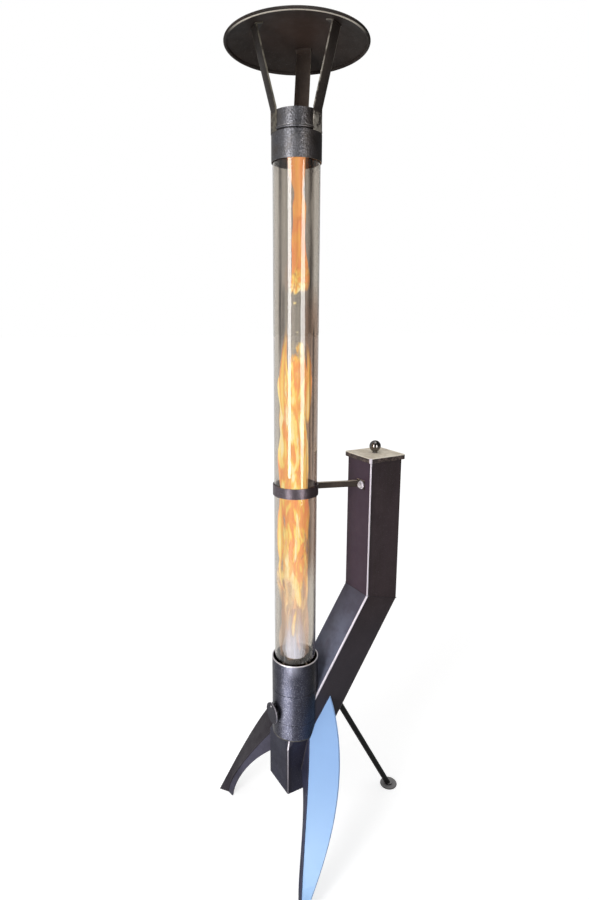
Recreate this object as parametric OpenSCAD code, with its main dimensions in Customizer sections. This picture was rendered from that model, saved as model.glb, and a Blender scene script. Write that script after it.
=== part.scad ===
// Outdoor wood-pellet stove: a dog-leg hopper of square tube feeds a burner box by gravity,
// and the flame climbs a tall glass tube to a chimney sleeve with a rain cap.
// Lengths are in millimetres. +Z is up, +Y points from the flame tube to the hopper,
// and the floor is at z = 0, below the centre of the outline.

/* [Square tube] */
// Outer width of the square tube of box, chute and hopper
tube_w = 120; // [100:1:140]
// Wall of the square tube
tube_wall = 3; // [2:0.5:4]
// Outer corner radius of the square tube
tube_corner = 5; // [4.5:0.5:8]

/* [Burner box] */
// Height of the box bottom above the floor
ground_clearance = 210; // [190:1:260]
// Height of the burner box
box_h = 179; // [170:1:220]
// Height of the sloped shoulders on the two front corners
shoulder_h = 24; // [16:1:30]
// Thickness of the deck plate between box and collar
deck_t = 4; // [3:0.5:6]
// Thickness of the box floor
floor_t = 3; // [2:0.5:5]
// Height of the burn grate above the box bottom
grate_z = 92; // [84:1:100]
// Thickness of the burn grate
grate_t = 4; // [3:0.5:6]
// Width of a slot in the burn grate
grate_slot_w = 6; // [4:0.5:8]

/* [Ash drawer] */
// Height of the ash drawer pan
drawer_h = 46; // [36:1:50]
// Sheet thickness of the ash drawer
drawer_t = 2; // [1.5:0.5:3]
// Diameter of the air holes in drawer front and box floor
air_hole_d = 12; // [8:0.5:14]

/* [Hopper and chute] */
// Distance from the flame tube axis to the hopper axis
hopper_reach = 286; // [250:1:320]
// Slope of the chute above the horizontal
chute_angle = 57.5; // [55:0.5:60]
// Height above the box bottom at which the chute's centre line would meet the flame tube axis
chute_aim = 135; // [130:1:150]
// Height of the hopper rim
hopper_top_z = 1253; // [1220:1:1400]

/* [Hopper lid] */
// How far the lid stands out past the hopper
lid_overhang = 8; // [5:0.5:9]
// Sheet thickness of the lid
lid_t = 3; // [2:0.5:3.5]
// Full height of the lid edge
lid_lip_h = 14; // [10:0.5:20]
// Diameter of the ball knob
knob_d = 36; // [26:1:44]
// Diameter of the knob neck
knob_neck_d = 16; // [12:1:20]
// Height of the knob neck above the lid
knob_neck_h = 4; // [1:0.5:10]
// Diameter of the knob stud
knob_stud_d = 6; // [5:0.5:8]

/* [Collar and nozzle] */
// Height of the round collar
collar_h = 257; // [250:1:300]
// Wall of the collar
collar_wall = 3; // [2:0.5:4]
// Radial room between glass and collar
collar_room = 5.5; // [4.5:0.5:8]
// Outer diameter of the burner nozzle
nozzle_d = 66; // [60:1:86]
// Wall of the burner nozzle
nozzle_wall = 2; // [1.5:0.5:3]
// How far the nozzle stands above the collar rim
nozzle_proud = 4; // [0:0.5:10]
// Height of the lower seam groove above the collar bottom
seam_low = 55; // [50:1:60]
// Height of the upper seam groove above the collar bottom
seam_high = 153; // [140:1:165]

/* [Lighting port] */
// Height of the port centre above the collar bottom
port_z = 80; // [76:1:86]
// Outer diameter of the port tube
port_d = 38; // [34:1:44]
// How far the port tube stands out of the collar
port_stub = 9; // [6:1:14]
// Wall of the port tube
port_wall = 3; // [2:0.5:4]
// Diameter of the swinging port cover
port_cover_d = 64; // [62:1:76]
// Thickness of the port cover
port_cover_t = 4; // [3:0.5:6]
// Diameter of the pivot screw shank
pivot_d = 5; // [4:0.5:6]

/* [Glass tube] */
// Outer diameter of the glass tube
glass_d = 125; // [110:1:130]
// Wall of the glass tube
glass_wall = 3; // [2.5:0.5:5]
// Length of the glass tube
glass_len = 1500; // [1000:10:1600]
// Depth of the glass seat below the collar rim
glass_depth = 49; // [40:1:60]
// Thickness of the flat ring gasket on the glass end
gasket_t = 2; // [1.5:0.5:3]

/* [Glass clamp] */
// Height of the clamp ring top above the glass bottom
clamp_z = 599; // [520:1:610]
// Height of the clamp ring band
clamp_h = 30; // [20:1:40]
// Thickness of the clamp ring
clamp_t = 3.5; // [2.5:0.5:5]
// Height of the clamp arm bar
arm_h = 18; // [12:1:20]
// Thickness of the clamp arm bar
arm_t = 12; // [8:0.5:16]
// How much lower the arm meets the hopper than the ring
arm_drop = 15; // [0:1:20]
// Diameter of the clamp bolt
bolt_d = 10; // [6:1:10]
// Diameter of the washer below the head of the clamp bolt
washer_d = 26; // [20:1:28]

/* [Chimney] */
// Overlap of the chimney sleeve on the glass
sleeve_overlap = 40; // [30:1:60]
// Height of the chimney sleeve
sleeve_h = 66; // [64:1:90]
// Sheet thickness of sleeve and spigot
sleeve_wall = 2; // [1.5:0.5:3]
// Height of the spigot above the sleeve
spigot_h = 50; // [44:1:70]
// Section diameter of the spigot bead
bead_d = 7; // [5:0.5:8]

/* [Rain cap] */
// Diameter of the rain cap
cap_d = 366; // [300:1:380]
// Height of the rain cap rim above the spigot top
cap_gap = 157; // [140:1:180]
// Rise of the rain cap dome
cap_rise = 42; // [36:1:56]
// Sheet thickness of the rain cap
cap_t = 2; // [1.5:0.5:3]
// Diameter of the rolled rim
cap_rim_d = 9; // [7:0.5:12]
// Width of a cap strap
strap_w = 40; // [30:1:44]
// Thickness of a cap strap
strap_t = 3; // [2:0.5:4]
// Distance from the axis to the top of a strap
strap_top_r = 116; // [105:1:125]
// Direction of the right strap
strap_right_turn = 28; // [15:1:40]
// Direction of the rear strap
strap_rear_turn = 140; // [125:1:150]
// Direction of the front strap
strap_front_turn = 260; // [245:1:270]
// Diameter of a rivet
rivet_d = 5; // [4:0.5:6]

/* [Front legs] */
// Half the distance between the outer corners of the front feet
foot_x = 286; // [270:1:310]
// How far the front feet stand in front of the flame tube axis
foot_front = 148; // [130:1:165]
// Width of a front foot
foot_w = 52; // [40:1:64]
// Height of the tip of the outer plate above the box bottom
leg_tip_up = 295; // [270:1:310]
// How far the tip of the outer plate lies behind the flame tube axis
leg_tip_back = 90; // [80:1:100]
// Height of the top of the ridge above the box bottom
leg_root_up = 187; // [170:1:200]
// Height of the heel of the inner plate above the box bottom
leg_heel_up = 71; // [50:1:90]
// Thickness of the leg plates
leg_t = 5; // [4:0.5:6]

/* [Rear leg] */
// Diameter of the rear leg rod
rod_d = 19; // [16:1:22]
// Distance from the flame tube axis to the rear foot
rear_foot_reach = 397; // [370:1:430]
// Distance from the flame tube axis to the rod top
rod_top_reach = 145; // [130:1:160]
// Diameter of the rear foot pad
pad_d = 60; // [50:1:70]
// Thickness of the rear foot pad
pad_t = 5; // [4:0.5:7]

/* [Fits] */
// Room between pieces that are welded or bolted together
weld_gap = 0.1; // [0.05:0.05:0.2]
// Room between a moving piece and its seat
seat_gap = 0.3; // [0.2:0.05:0.5]
// Radial room between sleeve and glass
sleeve_room = 1.3; // [1:0.1:1.6]
// Radial room between clamp ring and glass
clamp_room = 0.5; // [0.4:0.05:1]
// Side room of the ash drawer in the box
drawer_room = 1.5; // [1:0.25:2.5]

/* [Hidden] */
$fn = 96;

// Radii about the flame tube axis
glass_r = glass_d / 2;
collar_in_r = glass_r + collar_room;
collar_r = collar_in_r + collar_wall;
nozzle_r = nozzle_d / 2;
clamp_in_r = glass_r + clamp_room;
clamp_r = clamp_in_r + clamp_t;
sleeve_in_r = glass_r + sleeve_room;
sleeve_r = sleeve_in_r + sleeve_wall;
spigot_r = sleeve_in_r - weld_gap;
cap_r = cap_d / 2;
port_r = port_d / 2;
pad_r = pad_d / 2;

// Heights above the floor
box_top = ground_clearance + box_h;
collar_top = box_top + collar_h;
glass_bottom = collar_top - glass_depth;
glass_top = glass_bottom + glass_len;
clamp_top = glass_bottom + clamp_z;
sleeve_bottom = glass_top - sleeve_overlap;
sleeve_top = sleeve_bottom + sleeve_h;
spigot_bottom = glass_top + seat_gap + gasket_t;
spigot_top = sleeve_top + spigot_h;
cap_rim_z = spigot_top + cap_gap;
port_axis_z = box_top + port_z;

// The outline is centred on the origin from front to back
axis_y = (cap_r - rear_foot_reach - pad_r) / 2;

// Square tube and chute
half_w = tube_w / 2;
tube_in_w = tube_w - 2 * tube_wall;
in_corner = tube_corner - tube_wall;
bend_z = ground_clearance + chute_aim + hopper_reach * tan(chute_angle);
lean = 90 - chute_angle;
mitre = lean / 2;
chute_len = (hopper_reach + half_w * sin(chute_angle) - half_w * 0.85) / cos(chute_angle);
hopper_face_y = hopper_reach - half_w;
big = 1200;

// Height of the underside of the chute at a distance from the flame tube axis
function chute_under(y) = bend_z - (hopper_reach - y) * tan(chute_angle) - half_w / cos(chute_angle);
fuel_sill = chute_under(half_w) + tube_wall / cos(chute_angle);

// Ash drawer
drawer_w = tube_in_w - 2 * drawer_room;
drawer_bottom = ground_clearance + floor_t + seat_gap;
drawer_open_w = drawer_w + drawer_room;
drawer_front_w = tube_w - 4;
drawer_front_h = drawer_h + 6;

// Grate
grate_w = tube_in_w - 2;
ledge_w = 14;
ledge_len = tube_in_w * 0.7;
grate_top = ground_clearance + grate_z;

// Knob, bolt and rivets
lid_w = tube_w + 2 * lid_overhang;
lid_bottom = hopper_top_z + seat_gap;
lid_top = lid_bottom + lid_t;
hole_room = 0.2;
bolt_x = (arm_t + washer_d) / 2 + 0.5;
arm_len = hopper_face_y - clamp_r;
arm_z = clamp_top - clamp_h / 2;
bolt_z = arm_z - arm_drop;
tab_t = 4;
tab_h = max(arm_h + 6, washer_d + 2);
washer_t = 1.6;
nut_h = bolt_d * 0.8;

// Port cover and pivot
port_face_y = collar_r + port_stub;
cover_back_y = port_face_y + seat_gap;
boss_r = pivot_d;
pivot_up = port_r + boss_r + 1;
pivot_play = 0.05;

// Rain cap: a spherical dome on a rolled rim
dome_r = (cap_r * cap_r + cap_rise * cap_rise) / (2 * cap_rise);
dome_z = cap_rim_z + cap_rise - dome_r;
strap_r = spigot_r + weld_gap;
strap_bend_z = spigot_top + 6;
strap_bottom = sleeve_top + weld_gap;
flange_len = 22;
strap_turns = [strap_right_turn, strap_rear_turn, strap_front_turn];
rivet_low = strap_bottom + 20;
rivet_high = spigot_top - 9;
cap_rivet_tilt = asin((strap_top_r - flange_len / 2) / dome_r);

// Front leg: three guide curves from the square tube down to the floor.
// Each has a start, an end, and the share of the way that its two handles reach along X, Y and Z.
leg_outer_curve = [
    [half_w, leg_tip_back, ground_clearance + leg_tip_up], [0.73, 0.15, 0.22],
    [0.04, 0.53, 0.41], [foot_x, -foot_front, 0]
];
leg_ridge_curve = [
    [half_w, leg_tip_back * 0.18, ground_clearance + leg_root_up], [0.38, 0.3, 0.29],
    [0.05, 0, 0.23], [foot_x - 0.56 * foot_w, -foot_front + 0.42 * foot_w, 0]
];
leg_inner_curve = [
    [half_w, -leg_tip_back * 0.12, ground_clearance + leg_heel_up], [0.58, 0.36, 0.28],
    [0.09, 0.02, 0.35], [foot_x - foot_w, -foot_front + 0.5 * foot_w, 0]
];
leg_steps = 60;

// Moves what is drawn about the flame tube axis to its place
module at_axis() translate([0, axis_y, 0]) children();

// Square with rounded corners
module rounded_square(w, r) {
    square([w - 2 * r, w], center = true);
    for (x = [-1, 1])
        translate([x * (w / 2 - r / 2), 0]) square([r, w - 2 * r], center = true);
    for (x = [-1, 1], y = [-1, 1])
        translate([x * (w / 2 - r), y * (w / 2 - r)]) circle(r);
}

// Round tube about the Z axis
module pipe(r_out, r_in, h) rotate_extrude() translate([r_in, 0]) square([r_out - r_in, h]);

// Everything above the mitre plane of the bend
module above_mitre(gap)
    translate([0, hopper_reach, bend_z]) rotate([-mitre, 0, 0])
        translate([-big / 2, -big / 2, gap]) cube(big);

// Places what is drawn up the Z axis along the chute, from the bend
module along_chute() translate([0, hopper_reach, bend_z]) rotate([-lean, 0, 0]) children();

// Outside of the chute as a solid bar
module chute_bar(grow)
    along_chute() translate([0, 0, -chute_len]) linear_extrude(chute_len + tube_w)
        square(tube_w + 2 * grow, center = true);

// What the two sloped front corners of the box lose below the collar
module front_corner_cut(drop) {
    reach = tube_w;
    fall = (reach - collar_r) * shoulder_h / (half_w * sqrt(2) - collar_r);
    rotate([0, 0, 180]) rotate_extrude(angle = 180)
        polygon([
            [collar_r, box_top - drop], [reach, box_top - drop - fall],
            [reach, box_top + 1], [collar_r, box_top + 1]
        ]);
}

// Round hole along Y, from y0 to y1
module hole_y(r, y0, y1) translate([0, y0, 0]) rotate([-90, 0, 0]) cylinder(r = r, h = y1 - y0);

module burner_box() color([0.24, 0.23, 0.26]) at_axis() difference() {
    translate([0, 0, ground_clearance]) linear_extrude(box_h) rounded_square(tube_w, tube_corner);
    front_corner_cut(0);
    difference() {
        translate([0, 0, ground_clearance - 1]) linear_extrude(box_h + 2)
            rounded_square(tube_in_w, in_corner);
        front_corner_cut(tube_wall + 1);
    }
    // Mouth of the chute
    translate([-tube_in_w / 2 + in_corner, 0, fuel_sill]) cube([tube_in_w - 2 * in_corner, tube_w, box_h]);
    // Opening of the ash drawer
    translate([-drawer_open_w / 2, 0, ground_clearance + floor_t])
        cube([drawer_open_w, tube_w, drawer_h + 2 * seat_gap]);
}

module box_floor() color([0.2, 0.2, 0.22]) at_axis() difference() {
    translate([0, 0, ground_clearance]) linear_extrude(floor_t)
        rounded_square(tube_in_w - 2 * weld_gap, in_corner);
    for (x = [-2:2], y = [-1, 1])
        translate([x * air_hole_d * 1.5, y * air_hole_d * 2, ground_clearance - 1])
            cylinder(d = air_hole_d, h = floor_t + 2);
}

module deck_plate() color([0.22, 0.22, 0.24]) at_axis() difference() {
    translate([0, 0, box_top]) cylinder(r = collar_r, h = deck_t);
    translate([0, 0, box_top - 1]) cylinder(r = nozzle_r - nozzle_wall, h = deck_t + 2);
}

module grate_ledges() color([0.2, 0.2, 0.22]) at_axis()
    for (x = [-1, 1]) scale([x, 1, 1])
        translate([tube_in_w / 2 - weld_gap, ledge_len / 2, grate_top - grate_t]) rotate([90, 0, 0])
            linear_extrude(ledge_len) polygon([
                [0, 0], [0, -ledge_w], [-floor_t, -ledge_w], [-floor_t, -floor_t],
                [-ledge_w, -floor_t], [-ledge_w, 0]
            ]);

module burn_grate() color([0.15, 0.14, 0.14]) at_axis() difference() {
    translate([-grate_w / 2, -grate_w / 2, grate_top - grate_t + weld_gap])
        cube([grate_w, grate_w, grate_t]);
    for (i = [-3:3])
        translate([i * grate_slot_w * 2, 0, grate_top - grate_t - 1]) linear_extrude(grate_t + 2) {
            square([grate_slot_w, grate_w * 0.6], center = true);
            for (y = [-1, 1]) translate([0, y * grate_w * 0.3]) circle(d = grate_slot_w);
        }
}

module ash_drawer() color([0.3, 0.3, 0.32]) at_axis() translate([0, 0, drawer_bottom]) difference() {
    translate([-drawer_w / 2, -drawer_w / 2, 0]) cube([drawer_w, drawer_w / 2 + half_w, drawer_h]);
    translate([-drawer_w / 2 + drawer_t, -drawer_w / 2 + drawer_t, drawer_t])
        cube([drawer_w - 2 * drawer_t, drawer_w / 2 + half_w - 2 * drawer_t, drawer_h]);
}

module drawer_front() color([0.22, 0.21, 0.23]) at_axis()
    translate([0, half_w + seat_gap, drawer_bottom + drawer_h / 2]) rotate([-90, 0, 0])
        linear_extrude(tube_wall) difference() {
            square([drawer_front_w, drawer_front_h], center = true);
            for (x = [-2:2]) translate([x * air_hole_d * 1.5, -drawer_h * 0.26]) circle(d = air_hole_d);
        }

module drawer_handle() color([0.6, 0.6, 0.62]) at_axis()
    translate([0, half_w + seat_gap + tube_wall, drawer_bottom + drawer_h * 0.3]) {
        grip_w = 50;
        grip_d = 6;
        grip_out = 22;
        for (x = [-1, 1]) translate([x * grip_w / 2, 0, 0]) {
            hole_y(grip_d / 2, 0, grip_out);
            translate([0, grip_out, 0]) sphere(d = grip_d);
        }
        translate([-grip_w / 2, grip_out, 0]) rotate([0, 90, 0]) cylinder(d = grip_d, h = grip_w);
    }

module fuel_chute() color([0.25, 0.23, 0.26]) at_axis() difference() {
    along_chute() translate([0, 0, -chute_len]) linear_extrude(chute_len + tube_w) difference() {
        rounded_square(tube_w, tube_corner);
        rounded_square(tube_in_w, in_corner);
    }
    above_mitre(-weld_gap / 2);
    // Coped to the back of the box and round the collar
    translate([-tube_w, -tube_w, 0]) cube([2 * tube_w, tube_w + half_w + weld_gap, box_top]);
    translate([0, 0, box_top - 1]) cylinder(r = collar_r + weld_gap, h = collar_h + 2);
    translate([-tube_w, -tube_w, box_top - 1]) cube([2 * tube_w, tube_w, collar_h]);
}

module hopper_tube() color([0.25, 0.23, 0.25]) at_axis() difference() {
    intersection() {
        translate([0, hopper_reach, bend_z - tube_w]) linear_extrude(hopper_top_z - bend_z + tube_w)
            difference() {
                rounded_square(tube_w, tube_corner);
                rounded_square(tube_in_w, in_corner);
            }
        above_mitre(weld_gap / 2);
    }
    translate([bolt_x, 0, bolt_z]) hole_y(bolt_d / 2 + hole_room, hopper_face_y - 1, hopper_reach);
}

module hopper_lid() color([0.36, 0.34, 0.28]) at_axis()
    translate([0, hopper_reach, lid_bottom]) difference() {
        translate([0, 0, lid_t - lid_lip_h]) linear_extrude(lid_lip_h)
            rounded_square(lid_w, tube_corner + lid_overhang / 2);
        translate([0, 0, -lid_lip_h]) linear_extrude(lid_lip_h)
            rounded_square(lid_w - 2 * lid_t, tube_corner);
        translate([0, 0, -1]) cylinder(d = knob_stud_d + 2 * hole_room, h = lid_t + 2);
    }

module lid_knob() color([0.75, 0.75, 0.77]) at_axis() translate([0, hopper_reach, lid_top]) {
    translate([0, 0, knob_neck_h + knob_d * 0.48]) sphere(d = knob_d);
    translate([0, 0, weld_gap]) cylinder(d = knob_neck_d, h = knob_neck_h + knob_d * 0.1);
    translate([0, 0, -lid_t - nut_h - 1])
        cylinder(d = knob_stud_d, h = lid_t + nut_h + 1 + knob_neck_h + knob_d * 0.3);
}

module knob_nut() color([0.7, 0.7, 0.72]) at_axis()
    translate([0, hopper_reach, lid_bottom - weld_gap - nut_h * 0.8]) difference() {
        cylinder(d = knob_stud_d * 1.9, h = nut_h * 0.8, $fn = 6);
        translate([0, 0, -1]) cylinder(d = knob_stud_d + hole_room, h = nut_h + 2);
    }

module burner_collar() color([0.36, 0.36, 0.4]) at_axis() difference() {
    translate([0, 0, box_top + deck_t]) rotate_extrude() difference() {
        union() {
            translate([collar_in_r, 0]) square([collar_wall, collar_h - deck_t]);
            translate([collar_r - 1.5, collar_h - deck_t - 1.5]) circle(1.5);
        }
        for (z = [seam_low, seam_high])
            translate([collar_r, z - deck_t]) circle(0.8);
    }
    translate([0, 0, port_axis_z]) hole_y(port_r + weld_gap, -collar_r - 10, 0);
}

module burner_nozzle() color([0.3, 0.29, 0.29]) at_axis()
    translate([0, 0, box_top + deck_t])
        pipe(nozzle_r, nozzle_r - nozzle_wall, collar_h - deck_t + nozzle_proud);

module glass_seat_ring() color([0.18, 0.17, 0.17]) at_axis() {
    seat_t = 6;
    lip_h = 10;
    lip_w = 8;
    translate([0, 0, glass_bottom - weld_gap]) rotate_extrude() {
        translate([nozzle_r + weld_gap, -seat_t])
            square([collar_in_r - nozzle_r - 2 * weld_gap, seat_t]);
        translate([nozzle_r + weld_gap, -seat_t]) square([lip_w, seat_t + lip_h]);
    }
}

module glass_rope_seal() color([0.5, 0.48, 0.44]) at_axis()
    translate([0, 0, glass_bottom + collar_room]) rotate_extrude()
        translate([glass_r + collar_room / 2, 0]) circle(d = collar_room - 2 * weld_gap);

module port_tube() color([0.24, 0.23, 0.25]) at_axis() difference() {
    translate([0, 0, port_axis_z]) {
        hole_y(port_r, -port_face_y, -collar_in_r + 8);
        translate([0, 0, pivot_up]) hole_y(boss_r, -port_face_y, -collar_in_r + 8);
    }
    // The boss is coped to the collar and the tube passes through its hole
    difference() {
        cylinder(r = collar_r + weld_gap, h = box_top + collar_h);
        translate([0, 0, port_axis_z]) hole_y(port_r + weld_gap / 2, -tube_w, tube_w);
    }
    translate([0, 0, port_axis_z]) {
        hole_y(port_r - port_wall, -tube_w, 0);
        translate([0, 0, pivot_up]) hole_y(pivot_d / 2, -tube_w, 0);
    }
}

module port_cover() color([0.28, 0.27, 0.3]) at_axis() translate([0, 0, port_axis_z]) difference() {
    hole_y(port_cover_d / 2, -cover_back_y - port_cover_t, -cover_back_y);
    translate([0, 0, pivot_up]) hole_y(pivot_d / 2, -cover_back_y - 2 * port_cover_t, 0);
}

module port_pivot_screw() color([0.6, 0.6, 0.62]) at_axis() translate([0, 0, port_axis_z + pivot_up]) {
    head_y = -cover_back_y - port_cover_t - seat_gap;
    hole_y(pivot_d / 2 - pivot_play, head_y - 1, -collar_r - 0.5);
    intersection() {
        translate([0, head_y + pivot_d * 0.3, 0]) sphere(d = pivot_d * 2);
        hole_y(pivot_d, head_y - pivot_d, head_y);
    }
}

module glass_tube() color([0.8, 0.8, 0.76, 0.35]) at_axis()
    translate([0, 0, glass_bottom]) pipe(glass_r, glass_r - glass_wall, glass_len);

module clamp_ring() color([0.28, 0.27, 0.29]) at_axis()
    translate([0, 0, clamp_top - clamp_h]) pipe(clamp_r, clamp_in_r, clamp_h);

module clamp_arm() color([0.3, 0.28, 0.27]) at_axis() difference() {
    union() {
        translate([0, clamp_r, arm_z]) rotate([-atan(arm_drop / arm_len), 0, 0])
            translate([-arm_t / 2, -arm_t, -arm_h / 2]) cube([arm_t, arm_len + 2 * arm_t, arm_h]);
        translate([-arm_t / 2, hopper_face_y - tab_t - weld_gap, bolt_z - tab_h / 2])
            cube([(arm_t + washer_d) / 2 + bolt_x, tab_t, tab_h]);
    }
    translate([0, 0, arm_z - big / 2]) cylinder(r = clamp_r + weld_gap, h = big);
    translate([-tube_w, hopper_face_y - weld_gap, arm_z - tube_w]) cube(2 * tube_w);
    translate([bolt_x, 0, bolt_z]) hole_y(bolt_d / 2 + hole_room, hopper_face_y - 20, hopper_face_y + 1);
}

module clamp_bolt() color([0.78, 0.78, 0.8]) at_axis() translate([bolt_x, hopper_face_y, bolt_z]) {
    washer_y = -tab_t - 2 * weld_gap;
    hole_y(washer_d / 2, washer_y - washer_t, washer_y);
    translate([0, washer_y - washer_t - bolt_d * 0.65, 0]) rotate([-90, 0, 0])
        cylinder(d = bolt_d * 1.85, h = bolt_d * 0.65, $fn = 6);
    hole_y(bolt_d / 2, washer_y - washer_t - 1, tube_wall + nut_h + 4);
}

module clamp_nut() color([0.75, 0.75, 0.77]) at_axis()
    translate([bolt_x, hopper_face_y + tube_wall + weld_gap, bolt_z]) difference() {
        rotate([-90, 0, 0]) cylinder(d = bolt_d * 1.85, h = nut_h, $fn = 6);
        hole_y(bolt_d / 2 + weld_gap, -1, nut_h + 1);
    }

module glass_top_gasket() color([0.55, 0.53, 0.48]) at_axis()
    translate([0, 0, glass_top + seat_gap - weld_gap]) pipe(glass_r, glass_r - glass_wall, gasket_t);

module chimney_sleeve() color([0.36, 0.35, 0.38]) at_axis()
    translate([0, 0, sleeve_bottom]) pipe(sleeve_r, sleeve_in_r, sleeve_h);

module chimney_spigot() color([0.36, 0.35, 0.37]) at_axis() difference() {
    rotate_extrude() {
        translate([spigot_r - sleeve_wall, spigot_bottom]) square([sleeve_wall, spigot_top - spigot_bottom]);
        translate([glass_r - glass_wall, spigot_bottom])
            square([spigot_r - glass_r + glass_wall, sleeve_wall]);
        translate([spigot_r - sleeve_wall / 2, sleeve_top + bead_d]) circle(d = bead_d);
    }
    // Flats in the bead where the straps lie on it
    for (a = strap_turns) rotate([0, 0, a]) {
        translate([0, 0, strap_bottom - weld_gap]) intersection() {
            pipe(spigot_r + bead_d, spigot_r, spigot_h);
            translate([0, -strap_w / 2 - weld_gap, -1])
                cube([2 * spigot_r, strap_w + 2 * weld_gap, spigot_h]);
        }
        strap_rivet_holes();
    }
}

// Holes for the two rivets at the foot of a strap, drawn in the +X direction
module strap_rivet_holes()
    for (z = [rivet_low, rivet_high])
        translate([0, 0, z]) rotate([0, 90, 0]) cylinder(d = rivet_d, h = cap_r);

// One cap strap, drawn in the +X direction
module cap_strap() {
    slope = [strap_top_r - strap_r, cap_rim_z + cap_rise - strap_bend_z];
    intersection() {
        union() {
            rotate_extrude() polygon([
                [strap_r, strap_bottom], [strap_r + strap_t, strap_bottom],
                [strap_r + strap_t, strap_bend_z], [strap_top_r + strap_t, strap_bend_z + slope[1]],
                [strap_top_r, strap_bend_z + slope[1]], [strap_r, strap_bend_z]
            ]);
            // Flange under the dome, turned in towards the axis
            translate([0, 0, dome_z]) difference() {
                sphere(dome_r);
                sphere(dome_r - strap_t);
                translate([0, 0, -dome_r]) pipe(2 * dome_r, strap_top_r, 2 * dome_r);
            }
        }
        translate([strap_r - 4, -strap_w / 2, strap_bottom - 1])
            cube([cap_r, strap_w, cap_rim_z + cap_rise - strap_bottom]);
        translate([0, 0, dome_z]) sphere(dome_r - weld_gap);
        strap_flange_limit();
    }
}

// Moves what is drawn up the Z axis to a cap rivet, square to the dome, with z = 0 under the dome sheet
module at_cap_rivet()
    translate([0, 0, dome_z]) rotate([0, cap_rivet_tilt, 0]) translate([0, 0, dome_r]) children();

// Hole for a cap rivet
module cap_rivet_hole() at_cap_rivet() translate([0, 0, -3 * strap_t]) cylinder(d = rivet_d, h = 6 * strap_t);

// Keeps the flange to its length and leaves the strap below it whole
module strap_flange_limit() difference() {
    translate([0, -strap_w, 0]) cube([cap_r, 2 * strap_w, cap_rim_z + 2 * cap_rise]);
    translate([0, -strap_w, cap_rim_z - 10]) cube([strap_top_r - flange_len, 2 * strap_w, 2 * cap_rise + 20]);
}

module placed_strap(turn) at_axis() rotate([0, 0, turn]) difference() {
    cap_strap();
    strap_rivet_holes();
    cap_rivet_hole();
}

module cap_strap_right() color([0.26, 0.24, 0.23]) placed_strap(strap_turns[0]);

module cap_strap_rear() color([0.26, 0.24, 0.23]) placed_strap(strap_turns[1]);

module cap_strap_front() color([0.26, 0.24, 0.23]) placed_strap(strap_turns[2]);

// Domed rivet along +Z: shank from -grip to 0, head above 0
module rivet(grip) {
    translate([0, 0, -grip]) cylinder(d = rivet_d - 2 * weld_gap, h = grip + 0.5);
    intersection() {
        translate([0, 0, -rivet_d * 0.4]) sphere(d = rivet_d * 2);
        cylinder(d = rivet_d * 2, h = rivet_d);
    }
}

module strap_rivets() color([0.4, 0.38, 0.36]) at_axis()
    for (a = strap_turns, z = [rivet_low, rivet_high])
        rotate([0, 0, a]) translate([strap_r + strap_t + weld_gap, 0, z]) rotate([0, 90, 0])
            rivet(strap_t + sleeve_wall);

module rain_cap() color([0.2, 0.19, 0.19]) at_axis() difference() {
    union() {
        translate([0, 0, dome_z]) intersection() {
            difference() {
                sphere(dome_r + cap_t);
                sphere(dome_r);
            }
            translate([0, 0, dome_r - cap_rise - 1]) cylinder(r = cap_r - cap_rim_d / 2, h = cap_rise + 20);
        }
        translate([0, 0, cap_rim_z]) rotate_extrude()
            translate([cap_r - cap_rim_d / 2, cap_rim_d / 4]) circle(d = cap_rim_d);
    }
    for (a = strap_turns) rotate([0, 0, a]) cap_rivet_hole();
}

module cap_rivets() color([0.35, 0.33, 0.32]) at_axis()
    for (a = strap_turns) rotate([0, 0, a]) at_cap_rivet()
        translate([0, 0, cap_t + weld_gap]) rivet(cap_t + strap_t);

// Point on a guide curve, u from 0 at the tube to 1 at the floor
function along(share, way) = [share[0] * way[0], share[1] * way[1], share[2] * way[2]];
function on_curve(c, u) = let (way = c[3] - c[0])
    pow(1 - u, 3) * c[0] + 3 * pow(1 - u, 2) * u * (c[0] + along(c[1], way))
    + 3 * (1 - u) * u * u * (c[3] - along(c[2], way)) + pow(u, 3) * c[3];
function unit(v) = v / norm(v);

// Outward normals of the outer and the inner plate at u
function outer_normal(u) = unit(cross(
    on_curve(leg_ridge_curve, u) - on_curve(leg_outer_curve, u),
    on_curve(leg_ridge_curve, u + 0.01) - on_curve(leg_ridge_curve, u - 0.01)));
function inner_normal(u) = unit(cross(
    on_curve(leg_inner_curve, u) - on_curve(leg_ridge_curve, u),
    on_curve(leg_ridge_curve, u + 0.01) - on_curve(leg_ridge_curve, u - 0.01)));

// Back of a plate edge: the front point moved level by the plate thickness
function level(n) = let (h = [n[0], n[1], 0]) h / (h * h);
function ridge_back(u) = let (
        n = unit(outer_normal(u) + inner_normal(u)),
        t = leg_t / (n * outer_normal(u)))
    on_curve(leg_ridge_curve, u) - t * level(n);
function plate_ring(edge, n, u) = [
    on_curve(leg_ridge_curve, u), ridge_back(u),
    on_curve(edge, u) - leg_t * level(n), on_curve(edge, u)
];

// A plate of the leg, lofted through its rings
module leg_plate(rings) {
    points = [for (ring = rings) for (p = ring) p];
    last = 4 * (len(rings) - 1);
    faces = concat(
        [[0, 1, 2], [0, 2, 3]],
        [for (i = [0:4:last - 1]) for (j = [0:3]) let (k = (j + 1) % 4) [i + j, i + 4 + j, i + k]],
        [for (i = [0:4:last - 1]) for (j = [0:3]) let (k = (j + 1) % 4) [i + k, i + 4 + j, i + 4 + k]],
        [[last + 1, last, last + 2], [last + 2, last, last + 3]]);
    polyhedron(points, faces, convexity = 4);
}

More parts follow.
